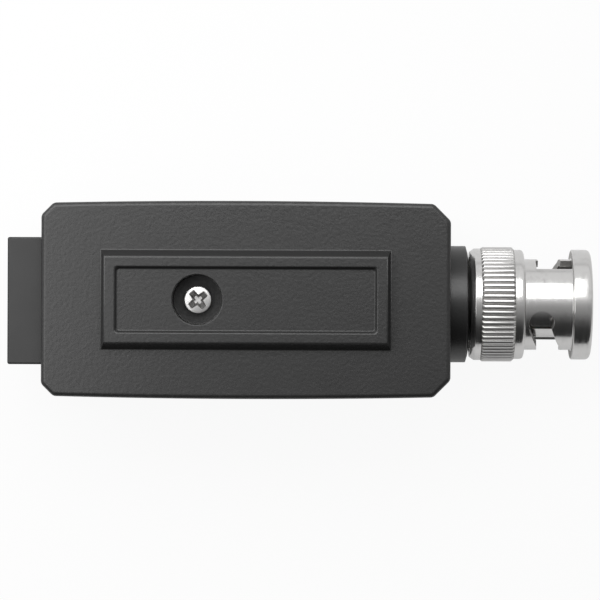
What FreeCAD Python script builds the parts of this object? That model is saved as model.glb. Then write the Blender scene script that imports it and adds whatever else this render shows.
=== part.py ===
import FreeCAD, Part
import math
import os

from FreeCAD import Vector

# Video balun: a two-part moulded case with a modular jack at one end and a bayonet plug at the other.
# Millimetres. +X runs from the jack to the plug, +Z up, and the case's flat underside lies on Z = 0.

# Case
case_length = 51.15
case_end_width = 24.2
case_crown = 0.28
case_roof_clearance = 0.4
case_wall = 1.8
corner_cut_jack_end = 1.55
corner_cut_plug_end = 2.15
corner_round = 0.8
rim_round = 0.6
seam_cut = 0.15
seam_height = 9.5
lip_thickness = 0.8
lip_height = 1.2
lip_clearance = 0.1

# Raised panel on the case's upper face, with its sunk field
panel_length = 36.1
panel_width = 12.4
panel_height = 1.3
panel_end_run = 0.35
panel_side_run = 0.8
panel_corner_round = 0.25
panel_foot_round = 0.15
panel_rim_round = 0.2
field_length = 32.7
field_width = 8.25
field_depth = 0.45
field_run = 0.25

# Case screw and the boss that it bites in
screw_from_case_centre = -6.06
screw_head_radius = 1.72
screw_head_height = 1.4
screw_head_round = 0.35
screw_radius = 0.95
screw_tip_radius = 0.25
screw_tip_length = 0.9
screw_length = 9.0
screw_hole_clearance = 0.25
cross_span = 2.5
cross_width = 0.62
cross_foot_span = 1.25
cross_foot_width = 0.37
cross_depth = 0.8
cross_angle = 33.0
pocket_radius = 3.1
pocket_depth = 4.2
pocket_rim_round = 0.2
pocket_wall = 1.2
pocket_floor = 1.4
boss_radius = 2.5
boss_bore_clearance = 0.05

# Circuit board
board_gap_below = 1.8
board_thickness = 1.6
board_end_clearance = 0.3
board_side_clearance = 0.4
board_nut_gap = 4.2
board_hole_clearance = 0.2
post_radius = 1.3
peg_radius = 0.75
peg_clearance = 0.1
post_inset = 2.2
post_gap = 0.49

# Modular jack
jack_protrusion = 4.35
jack_width = 15.95
jack_height = 11.6
jack_depth = 15.4
jack_off_centre = -0.19
jack_edge_round = 0.25
jack_window_clearance = 0.1
jack_top_wall = 1.3
jack_port_width = 11.9
jack_port_height = 6.8
jack_port_depth = 11.6
jack_latch_width = 6.2
jack_latch_height = 1.6
jack_key_width = 3.4
jack_key_height = 1.0
jack_peg_radius = 1.55
jack_peg_spacing = 11.4
jack_peg_length = 2.6
jack_peg_root = 0.5
jack_peg_from_front = 8.9
contact_count = 8
contact_pitch = 1.02
contact_thickness = 0.4
contact_bend = 0.45
contact_front_gap = 1.3
contact_reach = 8.6
contact_drop = 2.3
contact_nose_length = 0.25
contact_nose_drop = 1.1
contact_tail_row = 2.2
contact_tail_step = 1.4
contact_tail_length = 2.4
contact_slot_clearance = 0.05
jack_bed_side_gap = 0.51
jack_rear_wall = 0.3

# Plug axis and the bush that carries the plug in the case's end wall
plug_off_centre = -0.42
bush_radius = 7.41
bush_length = 2.4
bush_nose_radius = 6.65
bush_nose_cut = 0.22
bush_nose_round = 0.15
bush_groove_radius = 6.0
bush_groove_clearance = 0.1
bush_flange_radius = 7.0
bush_flange_length = 1.4

# Plug body, clamped through the bush by a nut
stem_radius = 3.95
stem_clearance = 0.05
stem_tail = 3.4
stem_end_round = 0.3
waist_radius = 4.6
shoulder_radius = 6.05
shoulder_length = 1.2
nut_across_flats = 11.0
nut_thickness = 2.0
lug_radius = 5.6
lug_thickness = 0.4
lug_tail_width = 2.0

# Contacts and insulator of the plug
sleeve_radius = 4.15
sleeve_wall = 0.65
sleeve_length = 11.3
sleeve_root = 1.2
sleeve_root_radius = 3.95
sleeve_slots = 4
sleeve_slot_width = 0.4
sleeve_slot_length = 6.4
sleeve_tip_round = 0.2
insulator_face_from_tip = 6.0
insulator_tube_radius = 2.48
insulator_tube_clearance = 0.1
insulator_tube_from_tip = 1.0
insulator_rear_radius = 2.2
insulator_tail = 1.0
pin_radius = 0.675
pin_rear_radius = 1.05
pin_from_tip = 0.5
pin_tip_radius = 0.27
pin_taper = 0.9
pin_tail = 1.6
gasket_thickness = 0.8
gasket_radius = 4.77

# Bayonet collar
collar_gap = 0.3
collar_length = 15.3
collar_tail_radius = 6.85
collar_tail_cut = 0.6
collar_tail_round = 0.2
collar_land_radius = 7.1
collar_body_radius = 6.95
knurl_from_tail = 1.35
knurl_length = 4.25
knurl_radius = 7.28
knurl_root_radius = 7.01
knurl_ridges = 64
knurl_crest_share = 0.34
knurl_land_share = 0.16
step_from_tail = 6.83
step_round = 0.45
barrel_radius = 5.77
flange_length = 2.4
flange_radius = 6.99
flange_front_round = 0.5
flange_back_round = 0.25
bore_radius = 4.9
mouth_cut = 0.3
cavity_clearance = 0.05
running_gap = 0.02
step_to_shoulder = 3.4

# Bayonet slots, by angle round the plug axis from the top towards -Y
detent_angle = 24.5
entry_angle = 117.3
detent_radius = 1.58
detent_from_tail = 8.92
ramp_start_from_tail = 8.66
ramp_end_from_tail = 10.62
ramp_width = 2.75
entry_from_tail = 8.35
entry_width = 2.3
stud_reach = 5.62

# Spring stack between the plug body's shoulder and the collar
spring_height = 0.8
spring_thickness = 0.2
spring_waves = 3
points_per_wave = 8
spring_clearance = 0.2
washer_thickness = 0.4
washer_clearance = 0.1
ring_thickness = 0.4
ring_groove_clearance = 0.05
ring_groove_depth = 0.35
ring_inner_radius = 5.45
ring_gap = 1.6

# Parts on the circuit board
core_radius = 4.5
core_bore = 2.4
core_height = 3.6
core_edge_cut = 0.3
core_from_screw = 9.6
small_parts_gap = 1.19
winding_wire = 0.4
winding_clearance = 0.06
winding_turns = 7
winding_angle = 15.0
diode_radius = 1.5
diode_length = 6.4
axial_end_round_share = 0.35
resistor_radius = 0.95
resistor_length = 3.4
lead_thickness = 0.5
lead_reach = 1.6
lead_bend = 0.6
lead_below_board = 1.2
lead_hole_clearance = 0.08
capacitor_radius = 2.6
capacitor_thickness = 2.2
capacitor_lead_gap = 4.4
capacitor_lead_drop = 0.78
capacitor_lead_splay = 0.9
capacitor_lead_bend = 0.3
disc_round_share = 0.4
component_lift = 0.3
part_row_from_edge = 2.65
wire_radius = 0.55
wire_bend = 0.8
wire_hole_clearance = 0.15
wire_end_past_board = 0.5
signal_lead_reach = 2.0
ground_lead_nut_gap = 0.6
ground_lead_run = 0.8
ground_hole_inset = 1.6
ground_hole_reach = 3.8

# Cutters run this far past the faces that they open
past = 1.0

# Lengths below this count as the same
same = 1e-4

# Places worked out from the sizes above
bush_front = case_length + bush_length
overall_length = jack_protrusion + bush_front + collar_gap + collar_length
case_back_x = -overall_length / 2 + jack_protrusion
case_front_x = case_back_x + case_length
case_mid_x = case_back_x + case_length / 2
screw_x = case_mid_x + screw_from_case_centre
jack_front_x = case_back_x - jack_protrusion
board_z = case_wall + board_gap_below
board_top_z = board_z + board_thickness
jack_top_z = board_top_z + jack_height
jack_back_x = jack_front_x + jack_depth
case_height = jack_top_z + case_roof_clearance + case_wall
panel_top_z = case_height + panel_height
field_z = panel_top_z - field_depth
pocket_z = field_z - pocket_depth
boss_top_z = pocket_z - pocket_floor
bush_front_x = case_front_x + bush_length
collar_tail_x = bush_front_x + collar_gap
collar_front_x = collar_tail_x + collar_length
shoulder_front_x = collar_tail_x + step_to_shoulder
shoulder_back_x = shoulder_front_x - shoulder_length
sleeve_back_x = shoulder_front_x - sleeve_root
sleeve_tip_x = sleeve_back_x + sleeve_length
gasket_front_x = shoulder_front_x + gasket_thickness
insulator_face_x = sleeve_tip_x - insulator_face_from_tip
cavity_radius = shoulder_radius + cavity_clearance
washer_front_x = shoulder_back_x - spring_height
washer_back_x = washer_front_x - washer_thickness
ring_front_x = washer_back_x - running_gap
bush_back_x = case_front_x - case_wall - bush_flange_length
nut_front_x = bush_back_x - lug_thickness
nut_back_x = nut_front_x - nut_thickness
stem_back_x = nut_back_x - stem_tail
pin_tail_x = stem_back_x - insulator_tail - pin_tail
board_back_x = case_back_x + case_wall + board_end_clearance
board_front_x = nut_back_x - board_nut_gap
board_half_width = case_end_width / 2 - case_wall - board_side_clearance
part_row_y = board_half_width - part_row_from_edge
nut_corner = nut_across_flats / math.sqrt(3)
ground_lead_y = plug_off_centre + nut_corner + ground_lead_nut_gap + wire_radius
ground_hole = (board_front_x - ground_hole_inset, plug_off_centre + ground_hole_reach)
signal_hole = (pin_tail_x - signal_lead_reach, plug_off_centre)
plug_axis = Vector(0, plug_off_centre, seam_height)


def rounded_edges(corners, closed):
    """Runs and arcs through corners, each a (point, radius) pair; an open line keeps its two ends."""
    count = len(corners)
    turns = []
    for i, (point, radius) in enumerate(corners):
        if radius <= 0 or (not closed and i in (0, count - 1)):
            turns.append((point, None, point))
            continue
        before = (corners[i - 1][0] - point).normalize()
        after = (corners[(i + 1) % count][0] - point).normalize()
        half = before.getAngle(after) / 2
        reach = radius / math.tan(half)
        inward = (before + after).normalize()
        middle = point + inward * (radius / math.sin(half) - radius)
        turns.append((point + before * reach, middle, point + after * reach))
    edges = []
    for i, (begin, middle, end) in enumerate(turns):
        if middle is not None:
            edges.append(Part.Arc(begin, middle, end).toShape())
        if closed or i + 1 < count:
            following = turns[(i + 1) % count][0]
            if (following - end).Length > same:
                edges.append(Part.LineSegment(end, following).toShape())
    return edges


def rounded_wire(corners):
    """A closed wire through (point, radius) corners."""
    return Part.Wire(rounded_edges(corners, True))


def turned(profile):
    """A solid turned about the plug axis from (x, radius) or (x, radius, corner round) points."""
    corners = []
    for x, radius, *corner in profile:
        corners.append((Vector(x, 0, radius), corner[0] if corner else 0))
    face = Part.Face(rounded_wire(corners))
    solid = face.revolve(Vector(0, 0, 0), Vector(1, 0, 0), 360)
    return solid.translated(plug_axis)


def ring(back_x, front_x, inner, outer):
    """A plain ring about the plug axis."""
    return turned([(back_x, inner), (front_x, inner), (front_x, outer), (back_x, outer)])


def rod(back_x, front_x, radius):
    """A plain round rod on the plug axis."""
    return turned([(back_x, 0), (front_x, 0), (front_x, radius), (back_x, radius)])


def post(x, y, low, high, radius):
    """An upright round post."""
    return Part.makeCylinder(radius, high - low, Vector(x, y, low))


def block(low, high):
    """A box between two corners."""
    return Part.makeBox(high[0] - low[0], high[1] - low[1], high[2] - low[2], Vector(*low))


def plate_wire(centre_x, centre_y, length, width, z):
    """A rectangle about a centre at height z."""
    a = length / 2
    b = width / 2
    points = [(-a, -b), (a, -b), (a, b), (-a, b), (-a, -b)]
    return Part.makePolygon([Vector(centre_x + x, centre_y + y, z) for x, y in points])


def bent_strip(points, thickness, width, bend, y):
    """A strip of metal bent in the XZ plane along (x, z) points, centred on y."""
    path = [Vector(x, 0, z) for x, z in points]
    sides = {1: [], -1: []}
    for i, here in enumerate(path):
        into = (here - path[i - 1]).normalize() if i else None
        out = (path[i + 1] - here).normalize() if i + 1 < len(path) else None
        into = into or out
        out = out or into
        normal_in = Vector(-into.z, 0, into.x)
        normal_out = Vector(-out.z, 0, out.x)
        miter = (normal_in + normal_out).normalize()
        reach = thickness / 2 / miter.dot(normal_in)
        turn = into.x * out.z - into.z * out.x
        for side in sides:
            radius = bend - side * math.copysign(thickness / 2, turn) if abs(turn) > same else 0
            sides[side].append((here + miter * (side * reach), radius))
    outline = rounded_wire(sides[1] + sides[-1][::-1])
    strip = Part.Face(outline).extrude(Vector(0, width, 0))
    return strip.translated(Vector(0, y - width / 2, 0))


def at_height(shape, z):
    """The edges that lie wholly at height z."""
    found = []
    for edge in shape.Edges:
        box = edge.BoundBox
        if abs(box.ZMin - z) < same and abs(box.ZMax - z) < same:
            found.append(edge)
    return found


def upright(shape):
    """The straight upright edges."""
    found = []
    for edge in shape.Edges:
        box = edge.BoundBox
        if box.ZLength > same and box.XLength < same and box.YLength < same:
            found.append(edge)
    return found


def round_edges(shape):
    """The circular edges."""
    return [edge for edge in shape.Edges if edge.Curve.TypeId == "Part::GeomCircle"]


def round_at(shape, z):
    """The circular edges that lie wholly at height z."""
    return [edge for edge in at_height(shape, z) if edge.Curve.TypeId == "Part::GeomCircle"]


def fuse(first, *others):
    """One solid from pieces that meet, with seams between their flat faces cleared."""
    return first.fuse(list(others)).removeSplitter()


def case_prism(inset, low, high):
    """The case's crowned plan with cut corners, set in from the outside by inset."""
    half_length = case_length / 2 - inset
    half_end = case_end_width / 2 - inset
    half_middle = half_end + case_crown
    shrink = inset * (2 - math.sqrt(2))
    back = corner_cut_jack_end - shrink
    front = corner_cut_plug_end - shrink

    def place(x, y):
        return Vector(case_mid_x + x, y, low)

    corners = [
        place(-half_length, half_end - back),
        place(-half_length + back, half_end),
        place(half_length - front, half_end),
        place(half_length, half_end - front),
        place(half_length, front - half_end),
        place(half_length - front, -half_end),
        place(-half_length + back, -half_end),
        place(-half_length, back - half_end),
    ]
    crowns = {1: place(0, half_middle), 5: place(0, -half_middle)}
    edges = []
    for i, start in enumerate(corners):
        end = corners[(i + 1) % len(corners)]
        if i in crowns:
            edges.append(Part.Arc(start, crowns[i], end).toShape())
        else:
            edges.append(Part.LineSegment(start, end).toShape())
    return Part.Face(Part.Wire(edges)).extrude(Vector(0, 0, high - low))


def case_half(low, high, outside, seam):
    """Half of the case as a solid block: rounded corners and outer rim, and a fine cut along the seam."""
    half = case_prism(0, low, high)
    half = half.makeFillet(corner_round, upright(half))
    half = half.makeFillet(rim_round, at_height(half, outside))
    return half.makeChamfer(seam_cut, at_height(half, seam))


def jack_window():
    """The opening for the jack in the case's end wall."""
    half = jack_width / 2 + jack_window_clearance
    return block(
        (case_back_x - past, jack_off_centre - half, board_top_z - jack_window_clearance),
        (case_back_x + case_wall + past, jack_off_centre + half, jack_top_z + jack_window_clearance),
    )


def bush_hole():
    """The round opening for the bush's groove in the case's other end wall."""
    radius = bush_groove_radius + bush_groove_clearance
    return rod(case_front_x - case_wall - past, case_front_x + past, radius)


def post_places():
    """Where the four posts under the board stand."""
    side = board_half_width - post_inset
    small_x, small_half = component_rows()["resistor"][::2]
    middle = small_x + small_half + lead_thickness / 2 + post_gap + post_radius
    return [(x, sign * side) for x in (middle, board_front_x - post_inset) for sign in (-1, 1)]


def panel_foot_edges(shell):
    """The edges where the raised panel stands on the case."""
    found = []
    for edge in at_height(shell, case_height):
        middle = edge.CenterOfMass
        if abs(middle.x - case_mid_x) < panel_length / 2 + same and abs(middle.y) < panel_width / 2 + same:
            found.append(edge)
    return found


def upper_shell():
    """The case's upper half, with the raised panel, the screw pocket and the rebate for the lip."""
    shell = case_half(seam_height, case_height, case_height, seam_height)
    foot = plate_wire(case_mid_x, 0, panel_length, panel_width, case_height)
    head_length = panel_length - 2 * panel_end_run
    head_width = panel_width - 2 * panel_side_run
    head = plate_wire(case_mid_x, 0, head_length, head_width, panel_top_z)
    panel = Part.makeLoft([foot, head], True, True)
    corners = [edge for edge in panel.Edges if edge.BoundBox.ZLength > same]
    panel = panel.makeFillet(panel_corner_round, corners)
    panel = panel.makeFillet(panel_rim_round, at_height(panel, panel_top_z))
    rim = plate_wire(case_mid_x, 0, field_length, field_width, panel_top_z)
    floor = plate_wire(case_mid_x, 0, field_length - 2 * field_run, field_width - 2 * field_run, field_z)
    field = Part.makeLoft([floor, rim], True, True)
    shell = fuse(shell, panel)
    shell = shell.makeFillet(panel_foot_round, panel_foot_edges(shell)).cut(field)

    hollow = case_prism(case_wall, seam_height - past, case_height - case_wall)
    rebate_depth = case_wall - lip_thickness - lip_clearance
    rebate = case_prism(rebate_depth, seam_height - past, seam_height + lip_height + lip_clearance)
    tube = post(screw_x, 0, boss_top_z, case_height - case_wall, pocket_radius + pocket_wall)
    shell = fuse(shell.cut(hollow).cut(rebate), tube)
    shell = shell.cut(post(screw_x, 0, pocket_z, panel_top_z + past, pocket_radius))
    shell = shell.makeFillet(pocket_rim_round, round_at(shell, field_z))
    screw_hole = screw_radius + screw_hole_clearance
    shell = shell.cut(post(screw_x, 0, boss_top_z - past, pocket_z + past, screw_hole))
    return shell.cut(jack_window()).cut(bush_hole())


def lower_shell():
    """The case's lower half, with the lip, the screw boss and the posts that carry the board."""
    shell = case_half(0, seam_height, 0, seam_height)
    lip = case_prism(case_wall - lip_thickness, seam_height - past, seam_height + lip_height)
    hollow = case_prism(case_wall, case_wall, seam_height + lip_height + past)
    shell = fuse(shell, lip).cut(hollow)
    boss = post(screw_x, 0, case_wall, boss_top_z, boss_radius)
    posts = [post(x, y, case_wall, board_z, post_radius) for x, y in post_places()]
    pegs = [post(x, y, board_z, board_top_z, peg_radius) for x, y in post_places()]
    shell = fuse(shell, boss, *posts, *pegs)
    boss_bore = screw_radius + boss_bore_clearance
    shell = shell.cut(post(screw_x, 0, pocket_z - screw_length - past, boss_top_z + past, boss_bore))
    return shell.cut(jack_window()).cut(bush_hole())


def case_screw():
    """A pan-head screw with a cross recess, its head on the pocket's floor."""
    top = pocket_z + screw_head_height
    profile = rounded_wire([
        (Vector(0, 0, pocket_z), 0),
        (Vector(screw_head_radius, 0, pocket_z), 0),
        (Vector(screw_head_radius, 0, top), screw_head_round),
        (Vector(0, 0, top), 0),
    ])
    head = Part.Face(profile).revolve(Vector(0, 0, 0), Vector(0, 0, 1), 360)
    low = pocket_z - screw_length
    tip = Part.makeCone(screw_tip_radius, screw_radius, screw_tip_length, Vector(0, 0, low))
    shank = post(0, 0, low + screw_tip_length, pocket_z, screw_radius)
    screw = fuse(head, shank, tip)
    for turn in (0, 90):
        foot = plate_wire(0, 0, cross_foot_span, cross_foot_width, top - cross_depth)
        mouth = plate_wire(0, 0, cross_span, cross_width, top)
        over = plate_wire(0, 0, cross_span, cross_width, top + past)
        arm = fuse(Part.makeLoft([foot, mouth], True, True), Part.makeLoft([mouth, over], True, True))
        screw = screw.cut(arm.rotated(Vector(0, 0, 0), Vector(0, 0, 1), cross_angle + turn))
    return screw.translated(Vector(screw_x, 0, 0))


def lead_hole(thickness):
    """The radius of the hole that a square lead goes through."""
    return thickness / math.sqrt(2) + lead_hole_clearance


def circuit_board():
    """The board, with holes for the boss, the pegs and the jack's pegs."""
    board = block((board_back_x, -board_half_width, board_z), (board_front_x, board_half_width, board_top_z))
    board = board.cut(post(screw_x, 0, 0, case_height, boss_radius + board_hole_clearance))
    for x, y in post_places():
        board = board.cut(post(x, y, 0, case_height, peg_radius + peg_clearance))
    for x, y in jack_peg_places():
        board = board.cut(post(x, y, 0, case_height, jack_peg_radius + peg_clearance))
    for x, y in tail_places():
        board = board.cut(post(x, y, 0, case_height, lead_hole(contact_thickness)))
    for x, y in component_lead_places():
        board = board.cut(post(x, y, 0, case_height, lead_hole(lead_thickness)))
    for x, y in (ground_hole, signal_hole):
        board = board.cut(post(x, y, 0, case_height, wire_radius + wire_hole_clearance))
    return board


def jack_peg_places():
    """Where the jack's two pegs go through the board."""
    x = jack_front_x + jack_peg_from_front
    return [(x, jack_off_centre + sign * jack_peg_spacing / 2) for sign in (-1, 1)]


def contact_lines():
    """Each jack contact's y and the x of its tail."""
    first = jack_off_centre - contact_pitch * (contact_count - 1) / 2
    tail = jack_back_x - contact_tail_row
    return [(first + i * contact_pitch, tail + (i % 2) * contact_tail_step) for i in range(contact_count)]


def tail_places():
    """Where the jack contacts' tails go through the board."""
    return [(tail, y) for y, tail in contact_lines()]


def contact_path(tail_x):
    """The (x, z) line of one jack contact, from its tail, over the port and back down into it."""
    run_z = jack_top_z - jack_top_wall - contact_thickness / 2
    front = jack_front_x + contact_front_gap
    return [
        (tail_x, board_top_z - contact_tail_length),
        (tail_x, run_z),
        (front, run_z),
        (front + contact_nose_length, run_z - contact_nose_drop),
        (jack_front_x + contact_reach, run_z - contact_drop),
    ]


def jack_contacts():
    """The eight sprung contact wires, as separate solids of one group."""
    wires = []
    for y, tail in contact_lines():
        wires.append(bent_strip(contact_path(tail), contact_thickness, contact_thickness, contact_bend, y))
    return Part.makeCompound(wires)


def contact_channels():
    """The grooves that the contact wires lie in, a little wider than the wires."""
    width = contact_thickness + 2 * contact_slot_clearance
    run_z = jack_top_z - jack_top_wall - contact_thickness / 2
    channels = []
    for y, tail in contact_lines():
        side = y - width / 2
        run = block(
            (jack_front_x + jack_port_depth - past, side, run_z - contact_bend),
            (tail + width / 2, side + width, jack_top_z),
        )
        fall = block((tail - width / 2, side, board_z), (tail + width / 2, side + width, run_z + width / 2))
        channels.append(fuse(run, fall))
    return channels


def jack_housing():
    """The moulded jack: port, stepped latch way, wire bed over the port, and pegs into the board."""
    half = jack_width / 2
    shell = block(
        (jack_front_x, jack_off_centre - half, board_top_z),
        (jack_back_x, jack_off_centre + half, jack_top_z),
    )
    shell = shell.makeFillet(jack_edge_round, shell.Edges)
    port_top = jack_top_z - jack_top_wall - contact_thickness
    port_low = port_top - jack_port_height
    port_back = jack_front_x + jack_port_depth
    steps = [
        (jack_port_width, port_low, port_top),
        (jack_latch_width, port_low - jack_latch_height, port_low + past),
        (jack_key_width, port_low - jack_latch_height - jack_key_height, port_low),
    ]
    for width, low, high in steps:
        shell = shell.cut(block(
            (jack_front_x - past, jack_off_centre - width / 2, low),
            (port_back, jack_off_centre + width / 2, high),
        ))
    bed_half = (contact_pitch * (contact_count - 1) + contact_thickness) / 2 + jack_bed_side_gap
    shell = shell.cut(block(
        (jack_front_x + contact_front_gap - contact_thickness, jack_off_centre - bed_half, port_top - past),
        (port_back, jack_off_centre + bed_half, jack_top_z - jack_top_wall),
    ))
    shell = shell.cut(block(
        (port_back - past, jack_off_centre - jack_port_width / 2, board_top_z - past),
        (jack_back_x + past, jack_off_centre + jack_port_width / 2, jack_top_z - jack_top_wall),
    ))
    pegs = [
        post(x, y, board_top_z - jack_peg_length, board_top_z + jack_peg_root, jack_peg_radius)
        for x, y in jack_peg_places()
    ]
    return fuse(shell, *pegs)


def contact_carrier():
    """The insert behind the port that holds the contact wires and combs their free ends."""
    port_back = jack_front_x + jack_port_depth
    half = jack_port_width / 2 - contact_slot_clearance
    carrier = block(
        (port_back, jack_off_centre - half, board_top_z),
        (jack_back_x - jack_rear_wall, jack_off_centre + half, jack_top_z - jack_top_wall),
    )
    return carrier.cut(contact_channels())


def neck_bush():
    """The black bush: a collar outside, a groove that the case's end wall closes on, a flange inside."""
    return turned([
        (bush_back_x, stem_radius + stem_clearance),
        (bush_front_x, stem_radius + stem_clearance),
        (bush_front_x, bush_nose_radius),
        (bush_front_x - bush_nose_cut, bush_radius, bush_nose_round),
        (case_front_x, bush_radius),
        (case_front_x, bush_groove_radius),
        (case_front_x - case_wall, bush_groove_radius),
        (case_front_x - case_wall, bush_flange_radius),
        (bush_back_x, bush_flange_radius),
    ])


def plug_body():
    """The turned plug body: stem, waist and the shoulder that the collar turns on."""
    bore = sleeve_radius - sleeve_wall
    return turned([
        (stem_back_x, insulator_rear_radius),
        (nut_front_x, insulator_rear_radius),
        (nut_front_x, bore),
        (sleeve_back_x, bore),
        (sleeve_back_x, sleeve_root_radius),
        (shoulder_front_x, sleeve_root_radius),
        (shoulder_front_x, shoulder_radius),
        (shoulder_back_x, shoulder_radius),
        (shoulder_back_x, waist_radius),
        (bush_front_x, waist_radius),
        (bush_front_x, stem_radius),
        (stem_back_x, stem_radius, stem_end_round),
    ])


def outer_contact():
    """The slotted contact sleeve, pressed into the plug body."""
    inner = sleeve_radius - sleeve_wall
    sleeve = turned([
        (sleeve_back_x, inner),
        (sleeve_tip_x, inner, sleeve_tip_round),
        (sleeve_tip_x, sleeve_radius, sleeve_tip_round),
        (gasket_front_x, sleeve_radius),
        (gasket_front_x, sleeve_root_radius),
        (sleeve_back_x, sleeve_root_radius),
    ])
    slot = block(
        (sleeve_tip_x - sleeve_slot_length, -sleeve_slot_width / 2, 0),
        (sleeve_tip_x + past, sleeve_slot_width / 2, sleeve_radius + past),
    )
    for i in range(sleeve_slots):
        turn = 360 * (i + 0.5) / sleeve_slots
        sleeve = sleeve.cut(slot.rotated(Vector(0, 0, 0), Vector(1, 0, 0), turn).translated(plug_axis))
    return sleeve


def dielectric():
    """The white insulator, with a tube round the pin."""
    tube_x = sleeve_tip_x - insulator_tube_from_tip
    outer = sleeve_radius - sleeve_wall
    tube_outer = outer - insulator_tube_clearance
    return turned([
        (stem_back_x - insulator_tail, pin_rear_radius),
        (insulator_face_x, pin_rear_radius),
        (insulator_face_x, insulator_tube_radius),
        (tube_x, insulator_tube_radius),
        (tube_x, tube_outer),
        (insulator_face_x, tube_outer),
        (insulator_face_x, outer),
        (nut_front_x, outer),
        (nut_front_x, insulator_rear_radius),
        (stem_back_x - insulator_tail, insulator_rear_radius),
    ])


def centre_pin():
    """The centre contact, with a tapered tip in front and a solder tail behind."""
    tip_x = sleeve_tip_x - pin_from_tip
    return turned([
        (pin_tail_x, 0),
        (tip_x, 0),
        (tip_x, pin_tip_radius),
        (tip_x - pin_taper, pin_radius),
        (insulator_face_x, pin_radius),
        (insulator_face_x, pin_rear_radius),
        (pin_tail_x, pin_rear_radius),
    ])


def front_gasket():
    """The soft ring that the mating shell closes on."""
    return ring(shoulder_front_x, gasket_front_x, sleeve_root_radius, gasket_radius)


def rear_nut():
    """The hexagon nut that clamps the plug body in the bush."""
    turns = [math.radians(60 * i + 30) for i in range(7)]
    points = [Vector(0, nut_corner * math.sin(turn), nut_corner * math.cos(turn)) for turn in turns]
    hexagon = Part.Face(Part.makePolygon(points)).extrude(Vector(nut_thickness, 0, 0))
    nut = hexagon.translated(plug_axis + Vector(nut_back_x, 0, 0))
    return nut.cut(rod(nut_back_x - past, nut_front_x + past, stem_radius + stem_clearance))


def ground_lug():
    """The ring tag under the nut, with its tail reaching out past the nut's corner."""
    tag = ring(nut_front_x, bush_back_x, stem_radius + stem_clearance, lug_radius)
    half = lug_tail_width / 2
    root = plug_off_centre + math.sqrt(lug_radius ** 2 - half ** 2) - lug_thickness
    tail = block(
        (nut_front_x, root, seam_height - half),
        (bush_back_x, ground_lead_y + wire_radius, seam_height + half),
    )
    return fuse(tag, tail)


def on_collar(angle, x, radius):
    """A point by its angle round the plug axis, measured from the top towards -Y."""
    turn = math.radians(angle)
    return plug_axis + Vector(x, -radius * math.sin(turn), radius * math.cos(turn))


def knurl():
    """The straight knurl: flat-topped ridges all the way round, cut back at both ends."""
    back = collar_tail_x + knurl_from_tail
    front = back + knurl_length
    drop = knurl_radius - knurl_root_radius
    flank_share = (1 - knurl_crest_share - knurl_land_share) / 2
    crest_end = flank_share + knurl_crest_share
    shape = [
        (0, knurl_root_radius),
        (flank_share, knurl_radius),
        (crest_end, knurl_radius),
        (crest_end + flank_share, knurl_root_radius),
    ]
    points = []
    for i in range(knurl_ridges):
        for share, radius in shape:
            angle = 2 * math.pi * (i + share) / knurl_ridges
            points.append(Vector(back, radius * math.sin(angle), radius * math.cos(angle)))
    outline = Part.makePolygon(points + points[:1])
    band = Part.Face(outline).extrude(Vector(knurl_length, 0, 0)).translated(plug_axis)
    envelope = turned([
        (back, 0),
        (front, 0),
        (front, knurl_root_radius),
        (front - drop, knurl_radius),
        (back + drop, knurl_radius),
        (back, knurl_root_radius),
    ])
    return band.common(envelope)


def bayonet_slot():
    """What one bayonet slot takes out of the collar: entry way, ramp and the detent hole at its end."""
    inner = bore_radius - past
    outer = barrel_radius + past
    turn = entry_angle - detent_angle
    rise = ramp_end_from_tail - ramp_start_from_tail
    pitch = rise * 360 / turn
    helix = Part.makeHelix(pitch, rise, barrel_radius)
    profile = Part.makePolygon([
        Vector(inner, 0, -ramp_width / 2),
        Vector(outer, 0, -ramp_width / 2),
        Vector(outer, 0, ramp_width / 2),
        Vector(inner, 0, ramp_width / 2),
        Vector(inner, 0, -ramp_width / 2),
    ])
    ramp = Part.Wire(helix.Edges).makePipeShell([profile], True, True)
    # The helix climbs +Z from the +X side: laid along the plug axis, that side turns to the top.
    ramp.rotate(Vector(0, 0, 0), Vector(0, 1, 0), 90)
    ramp.rotate(Vector(0, 0, 0), Vector(1, 0, 0), 180 + detent_angle)
    ramp.translate(plug_axis + Vector(collar_tail_x + ramp_start_from_tail, 0, 0))

    detent_axis = on_collar(detent_angle, 0, 1) - plug_axis
    detent_base = plug_axis + Vector(collar_tail_x + detent_from_tail, 0, 0) + detent_axis * inner
    detent = Part.makeCylinder(detent_radius, outer - inner, detent_base, detent_axis)

    way_back = collar_tail_x + entry_from_tail
    flange_x = collar_front_x - flange_length
    half = entry_width / 2
    way = block((way_back, -half, inner), (flange_x, half, outer))
    groove = block((way_back, -half, inner), (collar_front_x + past, half, stud_reach))
    entry = fuse(way, groove).rotated(Vector(0, 0, 0), Vector(1, 0, 0), entry_angle)
    return [ramp, detent, entry.translated(plug_axis)]


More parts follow.
